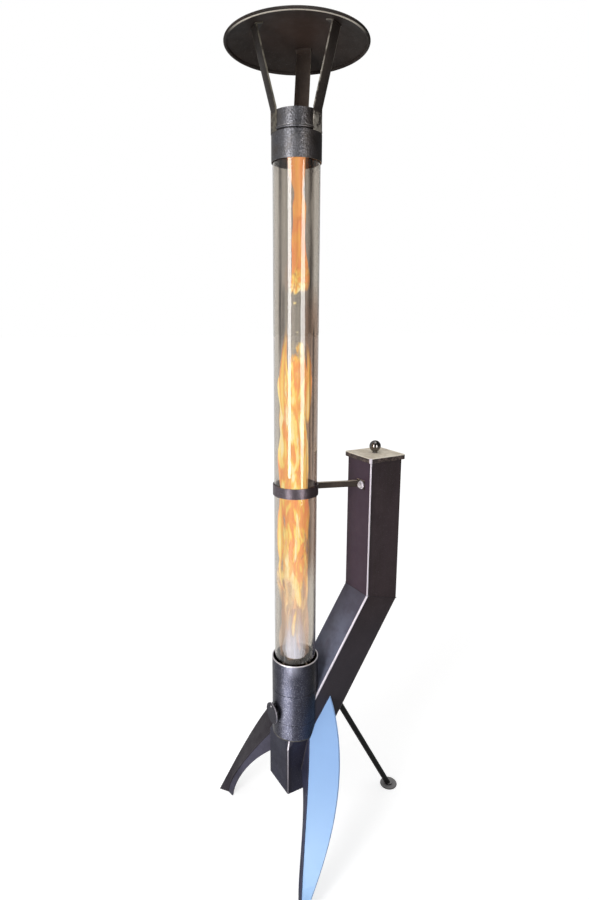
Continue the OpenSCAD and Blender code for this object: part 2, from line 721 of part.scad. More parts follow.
// Cut to the side of the square tube and round the collar, on the side where x is positive
module trim_to_tube() difference() {
    children();
    translate([-big, -big / 2, -1]) cube([big + half_w + weld_gap, big, big]);
    translate([0, 0, box_top]) cylinder(r = collar_r + weld_gap, h = collar_h);
}

module outer_plate() at_axis() trim_to_tube()
    leg_plate([for (i = [0:leg_steps]) let (u = i / leg_steps)
        plate_ring(leg_outer_curve, outer_normal(u), u)]);

module inner_plate() at_axis() trim_to_tube()
    leg_plate([for (i = [0:leg_steps]) let (u = i / leg_steps)
        plate_ring(leg_inner_curve, inner_normal(u), u)]);

module right_leg_outer_plate() color([0.6, 0.74, 0.96]) outer_plate();

module right_leg_inner_plate() color([0.27, 0.25, 0.3]) inner_plate();

module left_leg_outer_plate() color([0.25, 0.22, 0.21]) mirror([1, 0, 0]) outer_plate();

module left_leg_inner_plate() color([0.3, 0.28, 0.33]) mirror([1, 0, 0]) inner_plate();

module rear_leg_rod() color([0.16, 0.15, 0.15]) at_axis() {
    top_z = chute_under(rod_top_reach);
    run = rear_foot_reach - rod_top_reach;
    angle = atan2(run, top_z);
    length = norm([run, top_z]);
    difference() {
        translate([0, rear_foot_reach, 0]) rotate([angle, 0, 0])
            translate([0, 0, -rod_d]) cylinder(d = rod_d, h = length + 3 * rod_d);
        chute_bar(weld_gap);
        translate([-big / 2, -big / 2, -big]) cube([big, 2 * big, big + 2 * pad_t + weld_gap]);
    }
}

module rear_foot_pad() color([0.14, 0.13, 0.13]) at_axis() translate([0, rear_foot_reach, 0])
    rotate_extrude() {
        square([pad_r - pad_t / 2, pad_t]);
        translate([pad_r - pad_t / 2, pad_t / 2]) intersection() {
            circle(d = pad_t);
            translate([0, -pad_t]) square(2 * pad_t);
        }
        square([rod_d * 0.75, 2 * pad_t]);
    }

burner_box();
box_floor();
deck_plate();
grate_ledges();
burn_grate();
ash_drawer();
drawer_front();
drawer_handle();
fuel_chute();
hopper_tube();
hopper_lid();
lid_knob();
knob_nut();
burner_collar();
burner_nozzle();
glass_seat_ring();
glass_rope_seal();
port_tube();
port_cover();
port_pivot_screw();
glass_tube();
clamp_ring();
clamp_arm();
clamp_bolt();
clamp_nut();
glass_top_gasket();
chimney_sleeve();
chimney_spigot();
cap_strap_right();
cap_strap_rear();
cap_strap_front();
strap_rivets();
rain_cap();
cap_rivets();
right_leg_outer_plate();
right_leg_inner_plate();
left_leg_outer_plate();
left_leg_inner_plate();
rear_leg_rod();
rear_foot_pad();
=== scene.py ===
"""Outdoor pellet stove: finish of each piece, welds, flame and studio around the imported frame."""
import math
import random

import bmesh
import bpy
from mathutils import Matrix, Vector, noise


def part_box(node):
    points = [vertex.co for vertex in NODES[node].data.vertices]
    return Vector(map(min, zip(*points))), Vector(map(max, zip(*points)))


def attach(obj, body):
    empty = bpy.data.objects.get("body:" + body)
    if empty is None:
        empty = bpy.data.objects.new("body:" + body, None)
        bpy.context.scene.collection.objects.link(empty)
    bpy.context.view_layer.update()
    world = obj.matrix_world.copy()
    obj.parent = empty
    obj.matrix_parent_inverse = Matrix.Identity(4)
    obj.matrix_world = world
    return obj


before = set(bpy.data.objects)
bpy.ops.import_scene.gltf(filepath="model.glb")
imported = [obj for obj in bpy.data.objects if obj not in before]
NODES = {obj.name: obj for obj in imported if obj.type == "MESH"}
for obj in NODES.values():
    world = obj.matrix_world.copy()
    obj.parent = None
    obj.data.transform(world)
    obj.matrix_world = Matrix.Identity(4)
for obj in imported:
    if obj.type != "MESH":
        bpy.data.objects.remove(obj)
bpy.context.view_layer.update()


def middle(node):
    low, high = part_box(node)
    return (low + high) / 2


# Places that come from the frame, in metres. AXIS is the middle of the flame tube
AXIS = middle("glass_tube")
TUBE_HALF = (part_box("hopper_tube")[1].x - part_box("hopper_tube")[0].x) / 2
HOPPER_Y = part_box("hopper_tube")[1].y - TUBE_HALF
HOPPER_FOOT = Vector((0, HOPPER_Y, 0))
LID_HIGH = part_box("hopper_lid")[1]
BOX_LOW, BOX_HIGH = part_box("burner_box")
COLLAR_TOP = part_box("burner_collar")[1].z
COLLAR_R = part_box("burner_collar")[1].x
GLASS_LOW, GLASS_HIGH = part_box("glass_tube")
NOZZLE_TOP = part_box("burner_nozzle")[1].z
SPIGOT_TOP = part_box("chimney_spigot")[1].z
RIM_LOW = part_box("rain_cap")[0].z
BEAD_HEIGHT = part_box("chimney_sleeve")[1].z + 0.007
# Radii of the bores
SPIGOT_BORE = GLASS_HIGH.x - 0.0008
SLEEVE_BORE = GLASS_HIGH.x + 0.0013
RING_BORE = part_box("clamp_ring")[1].x - 0.003

# Heights of the two seams in the collar
SEAMS = BOX_HIGH.z + 0.055, BOX_HIGH.z + 0.153
# Directions of the right, rear and front cap strap
STRAP_TURNS = math.radians(28), math.radians(140), math.radians(260)

# The chute climbs at this angle from the flame tube axis to the bend of the hopper
CHUTE_ANGLE = math.radians(57.5)
CHUTE_AIM = BOX_LOW.z + 0.135
BEND = Vector((0, HOPPER_Y, CHUTE_AIM + (HOPPER_Y - AXIS.y) * math.tan(CHUTE_ANGLE)))
OVER_CHUTE = Vector((0, -math.sin(CHUTE_ANGLE), math.cos(CHUTE_ANGLE)))


def on_axis(height):
    """The point of the flame tube's axis at a height."""
    return Vector((AXIS.x, AXIS.y, height))


def level(angle):
    """The level direction at an angle from +X."""
    return Vector((math.cos(angle), math.sin(angle), 0))


# Camera: the photograph's view of 589 by 900 pixels
CAMERA_AT = Vector((1.4344, -0.9559, 1.658))
CAMERA_HEADING = math.radians(59.95)
CAMERA_PITCH = math.radians(12.33)
CAMERA_ROLL = math.radians(0.14)
CAMERA_LENS = 23.648
# The side of the stove that the camera stands on
CAMERA_SIDE = CAMERA_HEADING - math.pi / 2


def add_object(name, data):
    item = bpy.data.objects.new(name, data)
    bpy.context.scene.collection.objects.link(item)
    return item


def make_camera():
    data = bpy.data.cameras.new("camera")
    data.sensor_fit = "AUTO"
    data.sensor_width = 36
    data.lens = CAMERA_LENS
    data.clip_start = 0.02
    camera = add_object("camera", data)
    camera.matrix_world = (
        Matrix.Translation(CAMERA_AT)
        @ Matrix.Rotation(CAMERA_HEADING, 4, "Z")
        @ Matrix.Rotation(math.pi / 2 - CAMERA_PITCH, 4, "X")
        @ Matrix.Rotation(CAMERA_ROLL, 4, "Z")
    )
    bpy.context.scene.camera = camera


def rgb(red, green, blue):
    """The shaders' value of a colour given in screen values from 0 to 255."""
    def channel(value):
        value /= 255
        return value / 12.92 if value <= 0.04045 else ((value + 0.055) / 1.055) ** 2.4
    return (channel(red), channel(green), channel(blue), 1.0)


class Graph:
    """Short calls for the nodes of one node tree."""

    def __init__(self, tree):
        self.nodes, self.links = tree.nodes, tree.links

    def add(self, kind, **values):
        node = self.nodes.new(kind)
        for key, value in values.items():
            setattr(node, key, value)
        return node

    def put(self, socket, value):
        if isinstance(value, bpy.types.NodeSocket):
            self.links.new(value, socket)
        else:
            socket.default_value = value

    def fill(self, node, **values):
        """Puts values on a node's sockets, with _ in their names for a space."""
        for key, value in values.items():
            self.put(node.inputs[key.replace("_", " ")], value)

    def maths(self, operation, a, b=0.0, c=0.0):
        node = self.add("ShaderNodeMath", operation=operation)
        for socket, value in zip(node.inputs, (a, b, c)):
            self.put(socket, value)
        return node.outputs[0]

    def times(self, a, b):
        return self.maths("MULTIPLY", a, b)

    def vectors(self, operation, a, b):
        node = self.add("ShaderNodeVectorMath", operation=operation)
        self.put(node.inputs[0], a)
        self.put(node.inputs[1], b)
        return node.outputs

    def along(self, vector, direction):
        """How far a vector reaches in a direction."""
        return self.vectors("DOT_PRODUCT", vector, direction)["Value"]

    def span(self, value, low, high, to_low=0.0, to_high=1.0):
        """Eases from to_low at low to to_high at high, and stays there past both."""
        node = self.add("ShaderNodeMapRange")
        node.interpolation_type = "SMOOTHSTEP"
        self.fill(node, Value=value, From_Min=low, From_Max=high, To_Min=to_low, To_Max=to_high)
        return node.outputs["Result"]


class Finish(Graph):
    """A material and short calls for the nodes that paint it. Lengths in it are metres."""

    def __init__(self, name):
        self.material = bpy.data.materials.new(name)
        self.material.use_nodes = True
        super().__init__(self.material.node_tree)
        self.main = self.nodes["Principled BSDF"]
        self.output = self.nodes["Material Output"]
        coordinates = self.add("ShaderNodeTexCoord")
        self.place = coordinates.outputs["Object"]
        self.sheet = coordinates.outputs["UV"]

    def set(self, **values):
        """Fills sockets of the main shader."""
        self.fill(self.main, **values)

    def blend(self, share, under, over):
        """Makes the surface the shader under where share is 0, and over where it is 1."""
        both = self.add("ShaderNodeMixShader")
        for socket, value in zip(both.inputs, (share, under, over)):
            self.put(socket, value)
        self.fill(self.output, Surface=both.outputs[0])

    def apart(self, vector):
        node = self.add("ShaderNodeSeparateXYZ")
        self.put(node.inputs[0], vector)
        return node.outputs

    def height(self):
        return self.apart(self.place)[2]

    def stretched(self, x, y, z):
        return self.vectors("MULTIPLY", self.place, (x, y, z))[0]

    def noise(self, scale, detail=3.0, rough=0.5, vector=None, swirl=0.0):
        node = self.add("ShaderNodeTexNoise")
        self.fill(node, Vector=vector or self.place, Scale=scale, Detail=detail, Roughness=rough)
        self.fill(node, Distortion=swirl)
        return node.outputs["Fac"]

    def cells(self, scale):
        node = self.add("ShaderNodeTexVoronoi", feature="SMOOTH_F1")
        self.fill(node, Vector=self.place, Scale=scale, Smoothness=0.6)
        return node.outputs["Distance"]

    def mix(self, share, a, b):
        node = self.add("ShaderNodeMix", data_type="RGBA")
        self.put(node.inputs["Factor"], share)
        self.put(node.inputs[6], a)
        self.put(node.inputs[7], b)
        return node.outputs[2]

    def bump(self, height, depth, under=None):
        """Bumps as deep as depth, in metres, where height is 0 to 1."""
        node = self.add("ShaderNodeBump")
        self.fill(node, Strength=1.0, Distance=depth, Height=height)
        if under is not None:
            self.fill(node, Normal=under)
        return node.outputs[0]

    def distance_along(self, centre, direction):
        """Signed distance from centre along direction."""
        return self.along(self.vectors("SUBTRACT", self.place, centre)[0], direction)

    def sideways(self):
        """Signed distance from the flame tube axis along TO_HOPPER."""
        return self.distance_along(AXIS, TO_HOPPER)

    def facing(self, direction):
        """How far the surface looks towards a direction, from -1 to 1."""
        return self.along(self.add("ShaderNodeNewGeometry").outputs["Normal"], direction)

    def radius(self):
        """Distance from the flame tube axis."""
        sides = self.apart(self.place)
        along = self.maths("SUBTRACT", sides[1], AXIS.y)
        squares = self.maths("MULTIPLY_ADD", sides[0], sides[0], self.maths("MULTIPLY", along, along))
        return self.maths("SQRT", squares)

    def line_at(self, value, place, half_width):
        """1 where value is at place, and 0 from half_width before and after it."""
        away = self.maths("ABSOLUTE", self.maths("SUBTRACT", value, place))
        return self.span(away, 0.0, half_width, 1.0, 0.0)

    def corner(self, centre, across, over, half, near, far):
        """1 on the corner that lies towards across and over, and 0 from far metres before it."""
        a = self.span(self.distance_along(centre, across), half - far, half - near)
        b = self.span(self.distance_along(centre, over), half - far, half - near)
        return self.times(a, b)


def coat(finish, dark, pale, gloss=(0.42, 0.56), specular=0.15):
    """Heat-proof coat: cloudy colour, fine grain with paler specks, and gloss that varies."""
    clouds = finish.noise(9, 5, 0.62)
    specks = finish.noise(330, 3, 0.65)
    colour = finish.mix(finish.span(clouds, 0.32, 0.68), dark, pale)
    colour = finish.mix(finish.span(specks, 0.56, 0.76, 0, 0.22), colour, rgb(150, 146, 152))
    rough = finish.span(finish.noise(30, 4, 0.6), 0.3, 0.7, *gloss)
    finish.set(Base_Color=colour, Roughness=rough, Specular_IOR_Level=specular)
    finish.set(Normal=finish.bump(specks, 0.0002))
    return colour, rough


# Roughness of the steel that shows where a coat is rubbed off or a highlight is painted, and how metallic it
# looks
BARE_ROUGHNESS = 0.34
BARE_METAL = 0.25


def paint_pale_wear_and_highlight(finish, share, colour, rough, steel):
    """Shows pale steel through the coat where share is 1, for wear and for painted highlights."""
    finish.set(Base_Color=finish.mix(share, colour, steel))
    kept = finish.maths("SUBTRACT", 1.0, share)
    finish.set(Roughness=finish.maths("MULTIPLY_ADD", rough, kept, finish.times(share, BARE_ROUGHNESS)))
    finish.set(Metallic=finish.times(share, BARE_METAL))


RIGHT, FRONT, LEFT, UP = Vector((1, 0, 0)), Vector((0, -1, 0)), Vector((-1, 0, 0)), Vector((0, 0, 1))
# Level, and square to the photograph's line of sight, on the side of the hopper
TO_HOPPER = Vector((0.5, 0.866, 0))
# Pale steel, for wear and for painted highlights
WORN_STEEL_AND_HIGHLIGHT = rgb(214, 207, 216)
HOPPER_COAT = rgb(51, 41, 42), rgb(61, 50, 52)
BOX_COAT = rgb(36, 36, 49), rgb(46, 46, 62)


def square_tube_finish(name, centre, over, coats, near=0.0034, far=0.0056, share=1.0):
    """Coat of a piece of the square tube, and how far it is off near the corners, from near to far metres
    before them: by share on the near corner, where the pale line is partly wear and partly a painted
    highlight, with a line of painted shade beside it."""
    finish = Finish(name)
    colour, rough = coat(finish, *coats)
    patches = finish.span(finish.noise(48, 4, 0.7), 0.30, 0.48, 0.82, 1.0)
    corner_wear_and_highlight = 0.0
    # The near corner's pale line is partly wear and partly a painted highlight
    corners = (RIGHT, over, share), (LEFT, over, 0.25), (RIGHT, -over, 0.12), (LEFT, -over, 0.12)
    for across, side, off in corners:
        mask = finish.corner(centre, across, side, TUBE_HALF, near, far)
        corner_wear_and_highlight = finish.maths("MAXIMUM", corner_wear_and_highlight, finish.times(mask, off))
    # A line of painted shade beside the near corner
    beside = finish.corner(centre, RIGHT, over, TUBE_HALF, 0.004, 0.020)
    colour = finish.mix(finish.times(beside, 0.45), colour, rgb(24, 18, 24))
    return finish, finish.times(corner_wear_and_highlight, patches), colour, rough


def hopper_finish():
    """Brown-black coat, with a painted mauve reflection on the side towards the flame, and faint upright wipe
    marks.
    """
    finish, corner_wear_and_highlight, colour, rough = square_tube_finish(
        "hopper_coat", HOPPER_FOOT, FRONT, HOPPER_COAT, 0.0026, 0.0043)
    wipes = finish.noise(70, 3, 0.6, vector=finish.stretched(1, 1, 0.05))
    colour = finish.mix(finish.span(wipes, 0.35, 0.7, 0, 0.3), colour, rgb(68, 54, 62))
    forward = finish.distance_along(HOPPER_FOOT, FRONT)
    # A painted mauve reflection on the side towards the flame
    painted_reflection_front = finish.span(forward, TUBE_HALF - 0.001, TUBE_HALF)
    colour = finish.mix(finish.times(painted_reflection_front, 0.7), colour, rgb(70, 55, 69))
    paint_pale_wear_and_highlight(finish, corner_wear_and_highlight, colour, rough, WORN_STEEL_AND_HIGHLIGHT)
    return finish.material


def chute_finish():
    """The same coat, bluer towards the collar as a painted reflection, and paler on the side that looks up,
    partly pale ashes settled in patches and partly painted light, more of it near the collar.
    """
    finish, corner_wear_and_highlight, colour, rough = square_tube_finish("chute_coat", BEND, OVER_CHUTE, HOPPER_COAT)
    height = finish.height()
    # Painted reflection: bluer towards the collar
    painted_reflection_low = finish.span(height, COLLAR_TOP + 0.22, COLLAR_TOP - 0.05)
    colour = finish.mix(finish.times(painted_reflection_low, 0.6), colour, rgb(56, 54, 62))
    # The side that looks up: painted light, with pale ashes in patches near the collar
    painted_light_top_side = finish.span(finish.distance_along(BEND, OVER_CHUTE), TUBE_HALF - 0.0010, TUBE_HALF - 0.0003)
    colour = finish.mix(finish.times(painted_light_top_side, 0.6), colour, rgb(72, 66, 78))
    settled = finish.span(finish.noise(22, 5, 0.65), 0.3, 0.62, 0.55, 1.0)
    settled = finish.times(settled, finish.span(painted_reflection_low, 0, 1, 0.25, 0.95))
    ash_and_painted_light = finish.times(painted_light_top_side, settled)
    colour = finish.mix(ash_and_painted_light, colour, rgb(106, 110, 128))
    paint_pale_wear_and_highlight(finish, corner_wear_and_highlight, colour, rough, WORN_STEEL_AND_HIGHLIGHT)
    return finish.material


def box_finish():
    """Blue-black coat, pale steel along the front corner, partly wear and partly a painted highlight, and a
    painted highlight up the edge of the sloped shoulder.
    """
    finish, corner_wear_and_highlight, colour, rough = square_tube_finish(
        "box_coat", AXIS, FRONT, BOX_COAT, 0.0020, 0.0036, 0.5)
    low_fade = finish.span(finish.height(), BOX_LOW.z, BOX_HIGH.z - 0.03, 0.55, 1.0)
    corner_wear_and_highlight = finish.times(corner_wear_and_highlight, low_fade)
    # A painted highlight up the edge of the sloped shoulder
    shoulder = finish.span(finish.height(), BOX_HIGH.z - 0.028, BOX_HIGH.z - 0.020)
    slant = Vector((1, 1, 0)).normalized()
    edge = finish.line_at(finish.distance_along(AXIS, slant), 0.0, 0.0034)
    right_side = finish.span(finish.distance_along(AXIS, RIGHT), 0.0, 0.01)
    ridge = finish.times(finish.times(edge, shoulder), right_side)
    paint_pale_wear_and_highlight(finish, finish.maths("MAXIMUM", corner_wear_and_highlight, ridge), colour, rough, WORN_STEEL_AND_HIGHLIGHT)
    return finish.material


def plain_coat(name, dark, pale, **values):
    finish = Finish(name)
    coat(finish, dark, pale, **values)
    return finish.material


def edged_coat(name, dark, pale, edge, share, **values):
    """A coat with the paler colour edge where share(finish) is 1."""
    finish = Finish(name)
    colour, rough = coat(finish, dark, pale, **values)
    paint_pale_wear_and_highlight(finish, share(finish), colour, rough, edge)
    return finish.material


def hammered(name, dark, pale, marks, gloss=(0.32, 0.42), depth=0.0005):
    """Hammered metallic coat: shallow dimples with paler rims. marks(finish, colour) adds to its colour."""
    finish = Finish(name)
    dimples = finish.cells(210)
    fine = finish.noise(340, 3, 0.7)
    clouds = finish.noise(12, 4, 0.6)
    colour = finish.mix(finish.span(clouds, 0.3, 0.7), dark, pale)
    colour = finish.mix(finish.span(dimples, 0.3, 0.75, 0, 0.6), colour, pale)
    colour = finish.mix(finish.span(fine, 0.52, 0.68, 0, 0.5), colour, rgb(156, 156, 166))
    colour = marks(finish, colour)
    rough = finish.span(finish.noise(40, 4, 0.6), 0.3, 0.7, *gloss)
    finish.set(Base_Color=colour, Roughness=rough, Metallic=0.9, Specular_IOR_Level=0.4)
    finish.set(Normal=finish.bump(fine, 0.0002, under=finish.bump(dimples, depth)))
    return finish.material


def collar_marks(finish, colour):
    """Dark seams, painted shade at the back and at the left edge, the rim pale, partly wear and partly a
    painted highlight, and a painted highlight below the rim at the front.
    """
    height = finish.height()
    side = finish.sideways()
    # Painted shade at the back and at the left edge
    colour = finish.mix(finish.span(side, 0.012, 0.06, 0, 0.85), colour, rgb(27, 26, 28))
    colour = finish.mix(finish.span(side, -0.026, -0.052, 0, 0.45), colour, rgb(34, 33, 40))
    # A painted highlight below the rim at the front
    near_rim = finish.span(height, COLLAR_TOP - 0.05, COLLAR_TOP)
    rim_front_highlight = finish.times(finish.line_at(side, -0.003, 0.034), near_rim)
    colour = finish.mix(finish.times(rim_front_highlight, 0.65), colour, rgb(158, 158, 174))
    for seam in SEAMS:
        groove = finish.times(finish.line_at(height, seam, 0.0022), 0.6)
        colour = finish.mix(groove, colour, rgb(40, 40, 48))
    # The pale rim is partly wear and partly a painted highlight
    outside = finish.span(finish.radius(), COLLAR_R - 0.0042, COLLAR_R - 0.0036)
    rim = finish.times(outside, finish.span(height, COLLAR_TOP - 0.0034, COLLAR_TOP - 0.0014))
    sooty = finish.span(finish.radius(), COLLAR_R - 0.0030, COLLAR_R - 0.0012, 1.0, 0.0)
    colour = finish.mix(sooty, colour, rgb(34, 31, 30))
    return finish.mix(rim, colour, rgb(226, 222, 226))


def sooty_inside(bore, back_shade=0.8):
    """Marks of a chimney piece: heat tint in clouds, painted shade on its back of the given strength, a
    painted highlight over the bead and painted shadow under it, and soot in its bore, painted lighter on its
    far wall.
    """
    def marks(finish, colour):
        clouds = finish.span(finish.noise(16, 4, 0.6), 0.42, 0.66, 0, 0.5)
        colour = finish.mix(clouds, colour, rgb(92, 82, 68))
        # Painted shade on the back
        back = finish.span(finish.sideways(), -0.004, 0.038, 0, back_shade)
        colour = finish.mix(back, colour, rgb(62, 54, 49))
        # A painted highlight over the bead and painted shadow under it
        bead_highlight = finish.line_at(finish.height(), BEAD_HEIGHT + 0.0030, 0.0022)
        colour = finish.mix(finish.times(bead_highlight, 0.7), colour, rgb(176, 172, 170))
        bead_shadow = finish.line_at(finish.height(), BEAD_HEIGHT - 0.0045, 0.0035)
        colour = finish.mix(finish.times(bead_shadow, 0.9), colour, rgb(30, 27, 26))
        inside = finish.span(finish.radius(), bore + 0.0004, bore + 0.0010, 1.0, 0.0)
        # Soot in the bore, painted lighter on the far wall
        lit_far_wall = finish.span(finish.sideways(), -0.04, 0.05)
        return finish.mix(inside, colour, finish.mix(lit_far_wall, rgb(66, 50, 42), rgb(168, 140, 104)))
    return marks


def ring_marks(finish, colour):
    """Painted shade, darker and browner at the back, and soot-brown on the inside."""
    # Painted shade at the back
    back = finish.span(finish.sideways(), 0.0, 0.05, 0, 0.85)
    colour = finish.mix(back, colour, rgb(62, 50, 50))
    inside = finish.span(finish.radius(), RING_BORE - 0.0012, RING_BORE - 0.0004, 1.0, 0.0)
    return finish.mix(inside, colour, rgb(44, 33, 29))


def brown_leg_finish():
    """Brown-black coat, dusty towards the foot."""
    finish = Finish("brown_leg_coat")
    colour, rough = coat(finish, rgb(30, 25, 31), rgb(40, 34, 41))
    dust = finish.span(finish.height(), 0.42, 0.02, 0, 0.55)
    finish.set(Base_Color=finish.mix(dust, colour, rgb(62, 58, 64)), Roughness=rough)
    return finish.material


# The way that the broad face of the right leg's outer plate looks
BROAD_FACE = Vector((0.84, -0.52, 0.15))


def blue_coat():
    """Smooth light blue coat with faint orange peel, paler towards the foot, partly as a painted reflection,
    and with painted light on the sawn edges.
    """
    finish = Finish("blue_coat")
    height = finish.height()
    clouds = finish.span(finish.noise(7, 4, 0.6), 0.35, 0.7, 0, 0.4)
    # Paler towards the foot, partly a painted reflection
    colour = finish.mix(finish.span(height, 0.06, 0.42), rgb(158, 194, 234), rgb(145, 179, 226))
    colour = finish.mix(clouds, colour, rgb(152, 188, 234))
    # Painted light on the sawn edges, which lie in shade
    sawn = finish.span(finish.maths("ABSOLUTE", finish.facing(BROAD_FACE)), 0.45, 0.25)
    sawn = finish.times(sawn, finish.span(height, 0.12, 0.18))
    colour = finish.mix(sawn, colour, rgb(226, 238, 251))
    finish.set(Base_Color=colour, Roughness=finish.span(finish.noise(25, 3), 0.3, 0.7, 0.38, 0.5))
    finish.set(Specular_IOR_Level=0.2, Normal=finish.bump(finish.noise(260, 2, 0.5), 0.00005))
    return finish.material


def worn_lid():
    """Bronze-beige top with a rubbed edge, a dark mottled lip, and pale steel on the near corner, partly wear
    and partly a painted highlight.
    """
    finish = Finish("lid_coat")
    height = finish.height()
    top = finish.span(height, LID_HIGH.z - 0.0016, LID_HIGH.z - 0.0004)
    rubbed = finish.span(finish.noise(24, 6, 0.7), 0.36, 0.66)
    mottle = finish.span(finish.noise(90, 5, 0.7), 0.42, 0.62)
    lip = finish.mix(mottle, rgb(50, 40, 39), rgb(92, 78, 73))
    crown = finish.mix(rubbed, rgb(206, 195, 176), rgb(236, 226, 208))
    half = LID_HIGH.x
    brim = 0.0
    for across in (RIGHT, LEFT, FRONT, -FRONT):
        reach = finish.distance_along(HOPPER_FOOT, across)
        brim = finish.maths("MAXIMUM", brim, finish.span(reach, half - 0.0050, half - 0.0030))
    crown = finish.mix(finish.times(brim, 0.8), crown, rgb(248, 240, 224))
    colour = finish.mix(top, lip, crown)
    # The pale near corner is partly wear and partly a painted highlight
    corner_wear_and_highlight = finish.corner(HOPPER_FOOT, RIGHT, FRONT, half, 0.0052, 0.0082)
    finish.set(Base_Color=finish.mix(corner_wear_and_highlight, colour, WORN_STEEL_AND_HIGHLIGHT), Specular_IOR_Level=0.3)
    finish.set(Roughness=finish.span(rubbed, 0, 1, 0.5, 0.34))
    finish.set(Normal=finish.bump(finish.noise(500, 3, 0.6), 0.00012))
    return finish.material


def bright_metal(name, dark, pale, gloss, metal=1.0):
    finish = Finish(name)
    streaks = finish.noise(120, 4, 0.6)
    finish.set(Base_Color=finish.mix(finish.span(streaks, 0.3, 0.7), dark, pale), Metallic=metal)
    finish.set(Roughness=finish.span(streaks, 0.3, 0.7, *gloss))
    finish.set(Normal=finish.bump(streaks, 0.00005))
    return finish.material


def heated_steel(name, dark, pale, rim_height):
    """Steel that the fire has browned, sooty in patches, with a painted highlight along its rim."""
    finish = Finish(name)
    height = finish.height()
    colour = finish.mix(finish.span(finish.noise(14, 4), 0.35, 0.65), dark, pale)
    colour = finish.mix(finish.span(finish.noise(60, 5, 0.7), 0.45, 0.7), colour, rgb(30, 27, 27))
    # A painted highlight along the rim
    rim = finish.span(height, rim_height - 0.0012, rim_height - 0.0004)
    colour = finish.mix(finish.times(rim, 0.85), colour, rgb(196, 188, 180))
    rough = finish.span(finish.noise(90, 3), 0.3, 0.7, 0.4, 0.6)
    finish.set(Base_Color=colour, Metallic=0.4, Roughness=rough, Specular_IOR_Level=0.3)
    finish.set(Normal=finish.bump(finish.noise(700, 3, 0.6), 0.0001))
    return finish.material


def soot_and_scale(name, dark, pale, grain=300):
    finish = Finish(name)
    finish.set(Base_Color=finish.mix(finish.span(finish.noise(45, 6, 0.7), 0.35, 0.65), dark, pale))
    finish.set(Roughness=0.8, Metallic=0.3, Normal=finish.bump(finish.noise(grain, 4, 0.7), 0.0004))
    return finish.material


def ceramic_rope():
    """Dark mineral fibre, laid round the glass in strands."""
    finish = Finish("ceramic_rope")
    strands = finish.noise(420, 3, 0.7, vector=finish.stretched(1, 1, 0.35), swirl=1.5)
    finish.set(Base_Color=finish.mix(finish.span(strands, 0.3, 0.7), rgb(32, 30, 29), rgb(66, 62, 58)))
    finish.set(Roughness=0.95, Specular_IOR_Level=0.1, Normal=finish.bump(strands, 0.0006))
    return finish.material


def polished_ball():
    """Black chrome ball with faint wipe marks."""
    finish = Finish("polished_ball")
    wipes = finish.noise(160, 3, 0.6, vector=finish.stretched(1, 1, 4))
    wiped = finish.span(wipes, 0.4, 0.7, 0, 0.4)
    finish.set(Base_Color=finish.mix(wiped, rgb(94, 90, 88), rgb(130, 125, 122)))
    finish.set(Metallic=1.0, Roughness=finish.span(wipes, 0.3, 0.8, 0.05, 0.12))
    finish.set(Coat_Weight=0.6, Coat_Roughness=0.04)
    return finish.material


# Dark streaks up the glass, partly soot and partly painted dark reflections: direction from the axis in
# degrees, half width, lowest and highest place, share
DARK_STREAKS = (
    (-73, 4.5, 1.58, 2.08, 1.0), (-64, 6, 1.60, 1.72, 0.6), (8, 8.5, 1.60, 2.08, 0.85),
    (21, 3.5, 1.24, 1.62, 0.95), (9, 3, 1.20, 1.60, 0.75), (12, 8, 0.95, 1.17, 0.85))


def soot_and_reflection_streaks(finish):
    """1 in the dark streaks, partly soot and partly painted reflections, with frayed sides and ends."""
    sides = finish.apart(finish.place)
    turn = finish.maths("ARCTAN2", finish.maths("SUBTRACT", sides[1], AXIS.y), sides[0])
    fray = finish.noise(34, 4, 0.65, vector=finish.stretched(1, 1, 0.12))
    wander = finish.noise(2.2, 2, 0.5, vector=finish.stretched(0.2, 0.2, 1))
    turn = finish.maths("ADD", turn, finish.maths("MULTIPLY_ADD", wander, 0.16, -0.08))
    # Dark streaks: soot, and painted reflections
    soot = 0.0
    for degrees, half, low, high, share in DARK_STREAKS:
        streak = finish.line_at(turn, math.radians(degrees), math.radians(half) * 1.6)
        ends = finish.times(finish.span(sides[2], low - 0.05, low + 0.05),
                            finish.span(sides[2], high + 0.05, high))
        streak = finish.times(finish.times(streak, ends), share)
        soot = finish.maths("MAXIMUM", soot, streak)
    return finish.times(soot, finish.span(fray, 0.3, 0.55, 0.35, 1.0))


